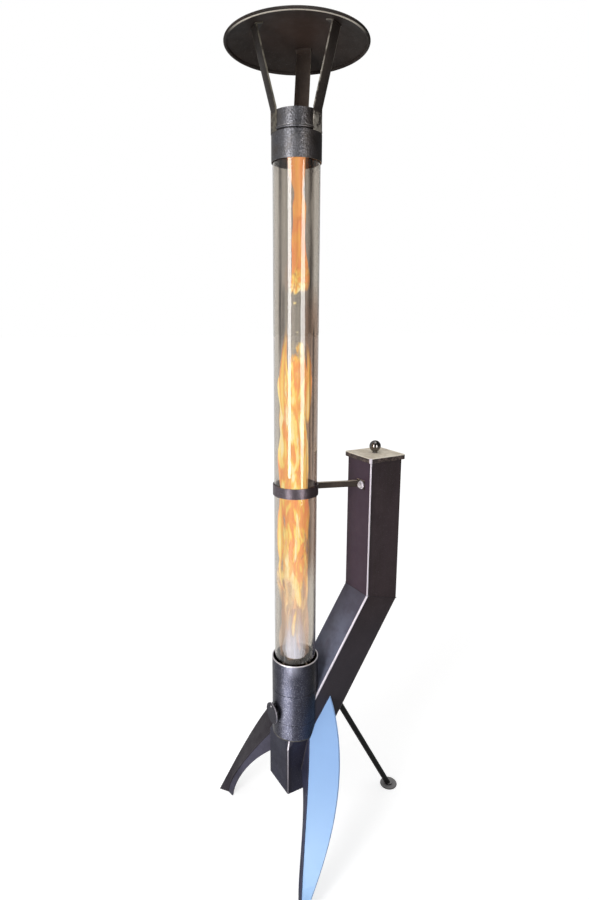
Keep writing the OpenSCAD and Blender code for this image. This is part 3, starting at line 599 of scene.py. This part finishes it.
def smoky_glass():
    """Heat-proof glass with a beige film of smoke in upright streaks, and, towards its outline where it turns
    from view, a painted paler band and painted dark shade.
    """
    finish = Finish("smoky_glass")
    streaks = finish.noise(30, 5, 0.6, vector=finish.stretched(1, 1, 0.03))
    film = finish.mix(finish.span(streaks, 0.34, 0.66), (0.66, 0.62, 0.57, 1), (0.48, 0.445, 0.40, 1))
    edge = finish.add("ShaderNodeLayerWeight")
    finish.fill(edge, Blend=0.3)
    # A paler band painted where the glass begins to turn from view
    wiped = finish.span(edge.outputs["Facing"], 0.20, 0.30, 0, 0.8)
    film = finish.mix(wiped, film, (0.80, 0.77, 0.72, 1))
    # Painted dark shade along the outline of the glass
    film = finish.mix(finish.span(edge.outputs["Facing"], 0.45, 0.90, 0, 0.95), film, (0.16, 0.14, 0.13, 1))
    height = finish.height()
    brown = finish.span(finish.sideways(), 0.012, 0.032, 0, 0.6)
    brown = finish.times(brown, finish.span(height, 1.78, 1.66))
    brown = finish.times(brown, finish.span(height, 0.86, 1.02))
    film = finish.mix(brown, film, (0.44, 0.31, 0.24, 1))
    film = finish.mix(soot_and_reflection_streaks(finish), film, (0.045, 0.035, 0.03, 1))
    finish.set(Base_Color=film, Transmission_Weight=1.0, Roughness=0.0, IOR=1.47)
    finish.set(Coat_Weight=0.4, Coat_Roughness=0.03)
    # Lamplight passes straight through it
    open_way = finish.add("ShaderNodeBsdfTransparent")
    finish.fill(open_way, Color=(0.8, 0.78, 0.75, 1))
    shadow = finish.add("ShaderNodeLightPath").outputs["Is Shadow Ray"]
    finish.blend(shadow, finish.main.outputs[0], open_way.outputs[0])
    return finish.material


# The side of the cap's rim that carries the painted highlight
HIGHLIGHT_SIDE = Vector((0.87, -0.49, 0))


def cap_finish():
    """Black-brown coat with a heat tint over the flame, and a painted highlight on the under edge of the rim,
    on one side.
    """
    finish = Finish("cap_coat")
    colour, rough = coat(finish, rgb(40, 35, 32), rgb(54, 47, 43), gloss=(0.5, 0.62), specular=0.1)
    heat = finish.span(finish.radius(), 0.15, 0.03, 0, 0.8)
    colour = finish.mix(heat, colour, rgb(74, 58, 51))
    height = finish.height()
    # A painted highlight on the under edge of the rim
    edge = finish.span(height, RIM_LOW + 0.0013, RIM_LOW + 0.0005)
    lit_side = finish.span(finish.distance_along(AXIS, HIGHLIGHT_SIDE), 0.06, 0.14, 0.0, 0.95)
    paint_pale_wear_and_highlight(finish, finish.times(edge, lit_side), colour, rough, rgb(222, 214, 200))
    return finish.material


# Coats of the right, rear and front strap: copies of one coat painted lighter and darker for the light on
# each, the rear one lightest
STRAP_COATS_BY_LIGHT = (
    (rgb(52, 45, 41), rgb(70, 61, 55)),
    (rgb(66, 57, 52), rgb(86, 75, 68)),
    (rgb(40, 36, 34), rgb(54, 49, 45)))


# How far the feet of the straps are painted pale as a highlight, and the pale colour of the painted
# highlights on their feet and edges
STRAP_FOOT_HIGHLIGHTS = (0.95, rgb(184, 177, 165)), (0.5, rgb(128, 122, 108)), (0.5, rgb(128, 122, 108))


def strap_finish(number, turn):
    """Coat of a cap strap, pale along its two long edges and at its foot: painted highlights, mixed with wear
    in patches.
    """
    foot_share, highlight_colour = STRAP_FOOT_HIGHLIGHTS[number]

    def share(finish):
        beside = Vector((-math.sin(turn), math.cos(turn), 0))
        away = finish.maths("ABSOLUTE", finish.distance_along(AXIS, beside))
        # Painted highlights on the long edges and the foot, broken into patches as wear
        edges = finish.span(away, 0.0178, 0.0192, 0, 0.75)
        height = finish.height()
        foot = finish.span(height, SPIGOT_TOP - 0.002, SPIGOT_TOP - 0.016, 0, foot_share)
        patches = finish.span(finish.noise(60, 4), 0.3, 0.6)
        return finish.times(finish.maths("MAXIMUM", edges, foot), patches)
    return edged_coat("strap_coat_%d" % number, *STRAP_COATS_BY_LIGHT[number], highlight_colour, share)


def port_rim_highlight(finish):
    """The rim of the port cover, painted pale as a highlight."""
    return finish.span(finish.maths("ABSOLUTE", finish.facing(FRONT)), 0.8, 0.4, 0, 0.4)


def dress(material, *names):
    """Gives CAD nodes a material."""
    for name in names:
        node = NODES[name]
        if not node.material_slots:
            node.data.materials.append(material)
        for place in node.material_slots:
            place.material = material


def dress_nodes():
    dress(hopper_finish(), "hopper_tube")
    dress(chute_finish(), "fuel_chute")
    dress(box_finish(), "burner_box")
    dress(hammered("collar_coat", rgb(52, 52, 62), rgb(70, 71, 84), collar_marks), "burner_collar")
    dress(hammered("sleeve_coat", rgb(88, 88, 92), rgb(104, 103, 106), sooty_inside(SLEEVE_BORE, 0.6),
                   (0.36, 0.46)), "chimney_sleeve")
    dress(hammered("spigot_coat", rgb(86, 86, 90), rgb(102, 101, 104), sooty_inside(SPIGOT_BORE)),
          "chimney_spigot")
    dress(hammered("ring_coat", rgb(84, 74, 80), rgb(108, 98, 104), ring_marks, (0.28, 0.36), 0.0003),
          "clamp_ring")
    dress(cap_finish(), "rain_cap")
    dress(plain_coat("rivet_coat", rgb(44, 38, 36), rgb(84, 76, 70), gloss=(0.34, 0.5)),
          "cap_rivets", "strap_rivets")
    for number, (name, turn) in enumerate(zip(("right", "rear", "front"), STRAP_TURNS)):
        dress(strap_finish(number, turn), "cap_strap_" + name)
    # The clamp arm's pale top face is a painted highlight
    dress(edged_coat("arm_coat", rgb(62, 53, 47), rgb(82, 72, 64), rgb(198, 187, 168),
                     lambda finish: finish.span(finish.facing(UP), 0.5, 0.9, 0, 0.95)), "clamp_arm")
    dress(edged_coat("port_coat", rgb(37, 35, 43), rgb(47, 45, 53), WORN_STEEL_AND_HIGHLIGHT, port_rim_highlight),
          "port_cover")
    dress(plain_coat("port_tube_coat", rgb(26, 25, 28), rgb(38, 36, 40)), "port_tube")
    dress(plain_coat("rod_coat", rgb(13, 12, 11), rgb(21, 20, 18), gloss=(0.4, 0.5)), "rear_leg_rod")
    dress(edged_coat("pad_coat", rgb(24, 23, 23), rgb(34, 32, 32), rgb(172, 170, 170),
                     lambda finish: finish.span(finish.facing(UP), 0.6, 0.95, 0, 0.7)), "rear_foot_pad")
    dress(plain_coat("inner_leg_coat", rgb(60, 57, 70), rgb(80, 78, 94)), "left_leg_inner_plate")
    # The right leg's inner plate: a darker navy copy of the inner plate coat, as painted shade
    dress(plain_coat("shaded_navy_leg_coat", rgb(38, 38, 54), rgb(52, 53, 74)), "right_leg_inner_plate")
    dress(brown_leg_finish(), "left_leg_outer_plate")
    dress(plain_coat("drawer_coat", *BOX_COAT), "drawer_front")
    dress(blue_coat(), "right_leg_outer_plate")
    dress(worn_lid(), "hopper_lid")
    dress(polished_ball(), "lid_knob")
    zinc = bright_metal("zinc", rgb(176, 174, 178), rgb(226, 224, 228), (0.22, 0.4))
    dress(zinc, "clamp_nut", "knob_nut", "drawer_handle")
    dress(bright_metal("bolt_zinc", rgb(205, 200, 206), rgb(246, 243, 246), (0.22, 0.36), 0.45),
          "clamp_bolt")
    dress(bright_metal("dull_zinc", rgb(96, 94, 98), rgb(134, 131, 134), (0.35, 0.5)),
          "port_pivot_screw")
    dress(heated_steel("nozzle_steel", rgb(44, 39, 37), rgb(76, 67, 60), NOZZLE_TOP), "burner_nozzle")
    dress(heated_steel("seat_steel", rgb(34, 31, 31), rgb(48, 43, 41), GLASS_LOW.z + 0.01),
          "glass_seat_ring")
    dress(soot_and_scale("sooted_sheet", rgb(58, 55, 54), rgb(96, 92, 88)),
          "deck_plate", "box_floor", "grate_ledges", "ash_drawer")
    dress(soot_and_scale("sooted_casting", rgb(40, 36, 34), rgb(74, 66, 58), 180), "burn_grate")
    dress(ceramic_rope(), "glass_rope_seal", "glass_top_gasket")
    dress(smoky_glass(), "glass_tube")


def new_piece(name, mesh, material, body="root"):
    """A mesh made into a smooth piece that rides on a body."""
    data = bpy.data.meshes.new(name)
    mesh.to_mesh(data)
    mesh.free()
    data.materials.append(material)
    data.polygons.foreach_set("use_smooth", [True] * len(data.polygons))
    piece = add_object(name, data)
    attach(piece, body)


def loft(mesh, rings, closed_ring=True):
    """Faces between rings of points. Each ring is a list of (point, u, v)."""
    layer = mesh.loops.layers.uv.verify()
    made = [[mesh.verts.new(point) for point, _, _ in ring] for ring in rings]
    count = len(rings[0])
    for i in range(len(rings) - 1):
        for j in range(count if closed_ring else count - 1):
            k = (j + 1) % count
            corners = [(i, j), (i, k), (i + 1, k), (i + 1, j)]
            face = mesh.faces.new([made[a][b] for a, b in corners])
            for loop, (a, b) in zip(face.loops, corners):
                u = rings[a][b][1] if not (closed_ring and k == 0 and b == 0) else 1.0
                loop[layer].uv = (u, rings[a][b][2])
    return made


BEAD_SIDES = 8
BEAD_STEP = 0.0016


def weld_bead(name, corners, radius, material, seed, ripple=0.16):
    """A weld along a line of corner points: a half-sunk round bead with the ripples of its passes."""
    points = []
    for start, end in zip(corners[:-1], corners[1:]):
        count = max(2, round((end - start).length / BEAD_STEP))
        points += [start.lerp(end, i / count) for i in range(count)]
    points.append(corners[-1])
    rings = []
    for i, point in enumerate(points):
        ahead = (points[min(i + 1, len(points) - 1)] - points[max(i - 1, 0)]).normalized()
        side = ahead.orthogonal().normalized()
        over = ahead.cross(side)
        pass_wave = 1 + ripple * math.sin(i * 2.1) + 0.2 * noise.noise(point * 90 + Vector((seed, 0, 0)))
        end_taper = min(1.0, 0.25 + 0.5 * min(i, len(points) - 1 - i))
        size = radius * pass_wave * end_taper
        rings.append([
            (point + size * (math.cos(a) * side + math.sin(a) * over), j / BEAD_SIDES, i / len(points))
            for j, a in ((j, 2 * math.pi * j / BEAD_SIDES) for j in range(BEAD_SIDES))])
    mesh = bmesh.new()
    made = loft(mesh, rings)
    for ring in (made[0], made[-1]):
        mesh.faces.new(ring)
    bmesh.ops.recalc_face_normals(mesh, faces=mesh.faces)
    new_piece(name, mesh, material)


def leg_curve(start, end, reach_out, reach_in):
    """Points down a leg's guide curve, whose handles reach given shares of the way along X, Y and Z."""
    way = end - start
    first = start + Vector(a * b for a, b in zip(reach_out, way))
    last = end - Vector(a * b for a, b in zip(reach_in, way))
    steps = 40
    return [
        (1 - u) ** 3 * start + 3 * (1 - u) ** 2 * u * first + 3 * (1 - u) * u * u * last + u ** 3 * end
        for u in (i / steps for i in range(steps + 1))]


def make_welds():
    navy = plain_coat("ridge_weld_coat", rgb(36, 36, 56), rgb(58, 60, 86), gloss=(0.4, 0.55))
    dark = plain_coat("weld_coat", rgb(40, 36, 40), rgb(62, 57, 64), gloss=(0.4, 0.55))
    for side, name in ((1, "right"), (-1, "left")):
        def at(x, y, z):
            return Vector((side * x, AXIS.y + y, z))
        # The leg's seam runs from its tip on the box by its root to its heel, and its ridge from root to foot
        foot_x, foot_front, foot_w = 0.286, 0.148, 0.052
        tip = at(TUBE_HALF + 0.0004, 0.090, BOX_LOW.z + 0.295)
        root = at(TUBE_HALF, 0.0162, BOX_LOW.z + 0.187)
        heel = at(TUBE_HALF + 0.0004, -0.0108, BOX_LOW.z + 0.071)
        foot = at(foot_x - 0.56 * foot_w, -foot_front + 0.42 * foot_w, 0.003)
        ridge = leg_curve(root, foot, (0.38, 0.30, 0.29), (0.05, 0.0, 0.23))
        material = navy if side > 0 else dark
        weld_bead(name + "_leg_ridge_weld", ridge, 0.0024, material, ripple=0.06, seed=3)
        weld_bead(name + "_leg_top_weld", [tip, root], 0.0022, material, seed=5)
        weld_bead(name + "_leg_heel_weld", [root, heel], 0.0022, dark, seed=7)
    # Seam of the bend, ground nearly flush
    lean = math.pi / 2 - CHUTE_ANGLE
    slope = Vector((0, math.cos(lean / 2), -math.sin(lean / 2)))
    reach = TUBE_HALF / math.cos(lean / 2)
    loop = [
        BEND + Vector((x * TUBE_HALF, 0, 0)) + y * reach * slope
        for x, y in ((1, -1), (1, 1), (-1, 1), (-1, -1), (1, -1))]
    weld_bead("hopper_bend_weld", loop, 0.0008, dark, ripple=0.3, seed=11)


# The glass takes about half of the light, so what burns in it glows this much brighter; the smoke glows too,
# as painted light
FLAME_GLOW = 1.75
SMOKE_GLOW = 1.95


def flame_colours(finish, warmth):
    """From orange at 0 through yellow to cream at 1."""
    ramp = finish.add("ShaderNodeValToRGB")
    stops = ramp.color_ramp.elements
    stops[0].position, stops[0].color = 0.0, rgb(240, 152, 100)
    stops[1].position, stops[1].color = 1.0, rgb(255, 244, 196)
    for position, colour in ((0.28, (247, 174, 102)), (0.50, (252, 204, 106)), (0.74, (254, 226, 134))):
        stop = stops.new(position)
        stop.color = rgb(*colour)
    finish.put(ramp.inputs[0], warmth)
    return ramp.outputs[0]


def glowing(finish, colour, cover, strength):
    """A surface that glows where cover is 1 and is open where it is 0."""
    glow = finish.add("ShaderNodeEmission")
    finish.fill(glow, Color=colour, Strength=strength)
    clear = finish.add("ShaderNodeBsdfTransparent")
    finish.blend(cover, clear.outputs[0], glow.outputs[0])
    finish.nodes.remove(finish.main)
    return finish.material


def tongue_material(name, warmer):
    """Ragged edges, a paler ridge, and ends that thin out."""
    finish = Finish(name)
    across, along, _ = finish.apart(finish.sheet)
    ragged = finish.noise(26, 4, 0.6, vector=finish.stretched(1, 1, 0.2), swirl=0.8)
    off_middle = finish.maths("ABSOLUTE", finish.maths("MULTIPLY_ADD", across, 2.0, -1.0))
    ridge = finish.maths("SUBTRACT", 1.0, off_middle)
    body = finish.maths("ADD", ridge, finish.times(finish.maths("SUBTRACT", ragged, 0.5), 1.3))
    tips = finish.times(finish.span(along, 0.0, 0.10), finish.span(along, 1.0, 0.6))
    cover = finish.times(finish.span(body, 0.14, 0.34), tips)
    cooling = finish.span(along, 0.0, 1.0, warmer, warmer - 0.3)
    warmth = finish.maths("MULTIPLY_ADD", body, 0.8, cooling)
    return glowing(finish, flame_colours(finish, warmth), cover, FLAME_GLOW)


FOOT_PINK = rgb(238, 200, 178)


def veil_material(name, low_cut, high_cut, paler, haze):
    """Upright licks with gaps between them, thin and pink at the foot. low_cut and high_cut set how open it
    is below and at its top, paler shifts its colours towards cream, and haze fills its foot between licks."""
    finish = Finish(name)
    height = finish.maths("SUBTRACT", finish.height(), NOZZLE_TOP)
    streaks = finish.noise(30, 5, 0.62, vector=finish.stretched(1, 1, 0.16), swirl=0.9)
    patches = finish.noise(9, 3, 0.5, vector=finish.stretched(1, 1, 0.5))
    colours = finish.noise(34, 3, 0.55, vector=finish.stretched(1, 1, 0.2), swirl=1.6)
    cut = finish.maths("MULTIPLY_ADD", patches, 0.45, finish.times(streaks, 0.55))
    level = finish.span(height, 0.98, 1.12, low_cut, high_cut)
    frayed = finish.maths("MULTIPLY_ADD", finish.noise(26, 3, 0.5), 0.22, height)
    gap = finish.times(finish.line_at(frayed, 1.135, 0.135), 0.42)
    full = finish.times(finish.line_at(height, 0.64, 0.28), 0.09)
    level = finish.maths("SUBTRACT", finish.maths("ADD", level, gap), full)
    foot = finish.span(height, 0.04, 0.34, 0.12, 0.0)
    cover = finish.span(finish.maths("SUBTRACT", cut, finish.maths("ADD", level, foot)), -0.035, 0.04)
    thin_foot = finish.span(height, 0.02, 0.26, 0.35, 1.0)
    neck = finish.span(height, 1.28, 1.34, 1.0, 0.55)
    cover = finish.times(finish.times(cover, thin_foot), neck)
    mist = finish.times(finish.span(height, 0.48, 0.14), haze)
    mist = finish.times(mist, finish.span(height, 0.0, 0.15, 0.5, 1.0))
    cover = finish.maths("MAXIMUM", cover, mist)
    crisp = finish.times(finish.span(colours, 0.42, 0.58), 0.62)
    base = finish.maths("ADD", crisp, paler)
    warmth = finish.maths("MULTIPLY_ADD", finish.span(streaks, 0.3, 0.7), 0.34, base)
    heart = finish.times(finish.line_at(height, 0.70, 0.26), 0.14)
    warmth = finish.maths("ADD", warmth, heart)
    aloft = finish.span(height, 1.08, 1.18)
    warmth = finish.times(warmth, finish.span(aloft, 0, 1, 1.0, 0.42))
    pink = finish.span(height, 0.10, 0.36, 0.7, 0.0)
    return glowing(finish, finish.mix(pink, flame_colours(finish, warmth), FOOT_PINK), cover, FLAME_GLOW)


def smoke_material(thin, dense):
    """Pale smoke with curls, glowing as painted light, as dense as thin to dense at its foot, gone at its
    top, and with painted shade on its side towards the hopper.
    """
    finish = Finish("pale_smoke")
    height = finish.maths("SUBTRACT", finish.height(), NOZZLE_TOP)
    curls = finish.noise(34, 4, 0.6, vector=finish.stretched(1, 1, 0.4), swirl=1.0)
    cover = finish.times(finish.span(height, 0.17, 0.02), finish.span(curls, 0.3, 0.65, thin, dense))
    # Painted shade: less cover on the side towards the hopper
    painted_shade_far_side = finish.span(finish.sideways(), -0.018, 0.012, 1.0, 0.62)
    cover = finish.times(cover, painted_shade_far_side)
    colour = finish.mix(finish.span(curls, 0.3, 0.7), rgb(184, 196, 222), rgb(218, 227, 246))
    return glowing(finish, colour, cover, SMOKE_GLOW)


# Half width of the flame at heights above the nozzle: full below, thin where it breaks up, a puff above that
FLAME_OUTLINE = (
    (0.00, 0.038), (0.10, 0.038), (0.20, 0.039), (0.38, 0.042), (0.52, 0.038), (0.62, 0.036), (0.84, 0.036),
    (0.94, 0.025), (1.03, 0.013), (1.12, 0.024), (1.20, 0.017), (1.30, 0.016), (1.335, 0.010), (1.40, 0.022),
    (1.50, 0.026))
# Where the flame leans off the axis: height above the nozzle, reach up and down, metres towards the hopper
FLAME_LEANS = (0.36, 0.18, -0.008), (0.76, 0.16, -0.007), (1.13, 0.07, 0.012), (1.29, 0.10, 0.005)


def flame_radius(height):
    """Half width at a height above the nozzle, eased between the outline's points."""
    for (low, thin), (high, wide) in zip(FLAME_OUTLINE[:-1], FLAME_OUTLINE[1:]):
        if height <= high:
            share = max(0.0, (height - low) / (high - low))
            return thin + (wide - thin) * share * share * (3 - 2 * share)
    return FLAME_OUTLINE[-1][1]


def flame_centre(height, seed):
    """The flame's middle at a height above the nozzle, swaying a little about the axis."""
    x_sway = noise.noise(Vector((seed, 0, height * 5)))
    y_sway = noise.noise(Vector((0, seed + 4, height * 5)))
    drift = sum(shift * math.exp(-((height - place) / reach) ** 2) for place, reach, shift in FLAME_LEANS)
    sway = Vector((x_sway, y_sway, 0)) * 0.008
    return on_axis(NOZZLE_TOP + height) + sway + TO_HOPPER * drift


def make_tongue(mesh, rng, low, length, width, offset, heading, face=None):
    """One curved, twisted tongue, as wide as width at its belly, along face or square to its heading."""
    across_steps = 6
    along_steps = 26
    face = heading + math.pi / 2 + rng.uniform(-0.7, 0.7) if face is None else face
    sway = rng.uniform(0.003, 0.008)
    phase = rng.uniform(0, 2 * math.pi)
    twist = rng.uniform(-1.0, 1.0)
    base = level(heading) * offset
    rings = []
    for i in range(along_steps + 1):
        t = i / along_steps
        swell = math.sin(math.pi * t ** 0.7) ** 0.8 if 0 < t < 1 else 0.0
        wander = Vector((math.sin(phase + 5 * t), math.cos(phase * 1.3 + 4.2 * t), 0)) * sway
        centre = on_axis(low + t * length) + base * (1 - 0.15 * t) + wander
        turn = face + twist * t
        side = level(turn)
        bulge = Vector((-side.y, side.x, 0))
        ring = []
        for j in range(across_steps + 1):
            u = j / across_steps
            x = (2 * u - 1) * width / 2 * swell
            hollow = (1 - (2 * u - 1) ** 2) * width * 0.25 * swell
            ring.append((centre + x * side + hollow * bulge, u, t))
        rings.append(ring)
    loft(mesh, rings, closed_ring=False)


# Licks of the flame: heading in degrees, height above the nozzle and length. The low ones also have a width
# and a distance from the axis
LONG_LICKS = (-80, 0.74, 0.27), (18, 0.72, 0.25), (-100, 0.30, 0.30)
LOW_LICKS = (20, 0.15, 0.17, 0.022, 0.020), (-50, 0.06, 0.10, 0.012, 0.010)


def make_tongues():
    """Tongues among the veils, long licks beside them, of which two reach above the rest, and low licks."""
    rng = random.Random(12)
    inner, outer = bmesh.new(), bmesh.new()
    count = 16
    for n in range(count):
        height = 0.16 + 0.64 * n / (count - 1) + rng.uniform(-0.02, 0.02)
        heading = n * 2.4 + rng.uniform(-0.4, 0.4)
        mesh = outer if n % 2 else inner
        reach = flame_radius(height) * (0.75 if n % 2 else 0.35)
        length, width = rng.uniform(0.14, 0.26), rng.uniform(0.016, 0.028)
        make_tongue(mesh, rng, NOZZLE_TOP + height, length, width, reach, heading)
    for heading, height, length in LONG_LICKS:
        make_tongue(outer, rng, NOZZLE_TOP + height, length, width=0.020, offset=0.046,
                    heading=math.radians(heading), face=math.radians(60))
    for heading, height, length, width, offset in LOW_LICKS:
        make_tongue(inner, rng, NOZZLE_TOP + height, length, width, offset, math.radians(heading))
    new_piece("pale_tongues", inner, tongue_material("pale_tongue", 0.35))
    new_piece("orange_tongues", outer, tongue_material("orange_tongue", 0.12))


COLUMN_SIDES = 40


def make_column(name, material, low, high, radius, lobes, steps, seed):
    """A swaying column of flame or smoke between two heights above the nozzle, of radius(height)."""
    rings = []
    for i in range(steps + 1):
        t = i / steps
        height = low + t * (high - low)
        ring = []
        for j in range(COLUMN_SIDES):
            angle = 2 * math.pi * j / COLUMN_SIDES
            ray = level(angle)
            lobe = 1 + lobes * noise.noise(Vector((ray.x * 1.6 + seed, ray.y * 1.6, height * 10)))
            ring.append((flame_centre(height, seed) + ray * radius(height) * lobe, j / COLUMN_SIDES, t))
        rings.append(ring)
    mesh = bmesh.new()
    loft(mesh, rings)
    new_piece(name, mesh, material)


def smoke_radius(height):
    """Half width of the smoke: the nozzle's bore, a flare over its rim, then narrower."""
    flare = 0.008 * max(0.0, min(1.0, height / 0.02))
    return 0.028 + flare - 0.10 * max(0.0, height)


def make_flame():
    top = GLASS_HIGH.z - NOZZLE_TOP + 0.03
    outer = veil_material("outer_flame", low_cut=0.49, high_cut=0.40, paler=-0.08, haze=0.24)
    make_column("outer_flame", outer, 0.0, top, flame_radius, lobes=0.45, steps=210, seed=0.0)
    inner = veil_material("inner_flame", low_cut=0.46, high_cut=0.38, paler=0.16, haze=0.0)
    make_column("inner_flame", inner, 0.16, top, lambda height: 0.62 * flame_radius(height),
                lobes=0.5, steps=200, seed=3.0)
    plumes = (1.0, 0.21, 0.08, 0.34), (0.76, 0.14, 0.2, 0.5), (0.48, 0.06, 0.35, 0.6)
    for number, (share, high, thin, dense) in enumerate(plumes):
        make_column("smoke_plume_%d" % number, smoke_material(thin, dense), -0.03, high,
                    lambda height: share * smoke_radius(height), lobes=0.35, steps=30, seed=9.0)
    make_tongues()


# In mirrors and gloss the white backdrop gives way to a dim room on this side of the stove
DIM_SIDE = level(math.radians(45))
DIM_LEVEL = 0.08
GLOSS_LEVEL = 0.5


def backdrop(graph, place, low, high):
    """1 for the camera and through glass; in gloss GLOSS_LEVEL falling to DIM_LEVEL on the dim side."""
    rays = graph.add("ShaderNodeLightPath").outputs
    level = graph.span(graph.along(place, DIM_SIDE), low, high, GLOSS_LEVEL, DIM_LEVEL)
    seen = graph.maths("MAXIMUM", rays["Is Camera Ray"], rays["Is Transmission Ray"])
    return graph.maths("MAXIMUM", seen, graph.times(rays["Is Glossy Ray"], level))


def make_floor():
    """A plain pale floor that keeps the stove's shadow."""
    finish = Finish("floor_white")
    finish.nodes.remove(finish.main)
    matt = finish.add("ShaderNodeBsdfDiffuse")
    finish.fill(matt, Color=(0.55, 0.55, 0.55, 1))
    glow = finish.add("ShaderNodeEmission")
    seen = backdrop(finish, finish.place, -0.9, 0.6)
    far = finish.span(finish.radius(), 0.8, 5.0, 0.68, 0.84)
    finish.fill(glow, Strength=finish.times(seen, far))
    both = finish.add("ShaderNodeAddShader")
    finish.put(both.inputs[0], matt.outputs[0])
    finish.put(both.inputs[1], glow.outputs[0])
    finish.fill(finish.output, Surface=both.outputs[0])
    data = bpy.data.meshes.new("floor")
    reach = 60.0
    corners = [(-reach, -reach, 0), (reach, -reach, 0), (reach, reach, 0), (-reach, reach, 0)]
    data.from_pydata(corners, [], [(0, 1, 2, 3)])
    data.materials.append(finish.material)
    floor = add_object("floor", data)


WORLD_LIGHT = 0.41


def make_world():
    """A white backdrop all round, which lights the stove at WORLD_LIGHT."""
    world = bpy.data.worlds.new("studio")
    bpy.context.scene.world = world
    world.use_nodes = True
    studio = Graph(world.node_tree)
    seen = backdrop(studio, studio.add("ShaderNodeTexCoord").outputs["Generated"], -0.3, 0.3)
    glossy = studio.add("ShaderNodeLightPath").outputs["Is Glossy Ray"]
    light = studio.times(studio.maths("SUBTRACT", 1.0, glossy), WORLD_LIGHT)
    sky = studio.nodes["Background"]
    studio.fill(sky, Color=(1, 1, 1, 1), Strength=studio.maths("MAXIMUM", seen, light))


def softbox(name, place, aim, width, height, power):
    """A soft lamp that isn't seen itself, nor through glass."""
    data = bpy.data.lights.new(name, "AREA")
    data.shape = "RECTANGLE"
    data.size, data.size_y = width, height
    data.energy = power
    lamp = add_object(name, data)
    lamp.location = place
    lamp.rotation_euler = (aim - place).to_track_quat("-Z", "Y").to_euler()
    lamp.visible_camera = False
    lamp.visible_transmission = False
    return lamp


def towards(degrees, distance, height):
    """A place round the flame tube, degrees to the right of the camera's side."""
    return on_axis(height) + distance * level(CAMERA_SIDE + math.radians(degrees))


def make_lights():
    aim = Vector((AXIS.x, AXIS.y + 0.1, 1.0))
    softbox("key", towards(-33, 2.6, 1.62), aim, 0.75, 2.36, 60)
    softbox("top", Vector((0.2, 0.0, 4.4)), Vector((0.0, 0.05, 1.2)), 2.2, 2.2, 34)
    # Seen only in glass and gloss, as the second white streak of the glass
    streak = softbox("right_streak", towards(33, 2.2, 1.52), on_axis(1.52), 0.84, 2.12, 39)
    streak.data.shape = "ELLIPSE"
    streak.visible_diffuse = False
    # A low card that the collar mirrors
    card = softbox("low_card", towards(-40, 0.54, 0.15), on_axis(0.48), 0.46, 0.29, 3.1)
    card.visible_diffuse = False


make_camera()
dress_nodes()
make_welds()
make_flame()
make_floor()
make_world()
make_lights()
bpy.context.scene.view_settings.view_transform = "Standard"
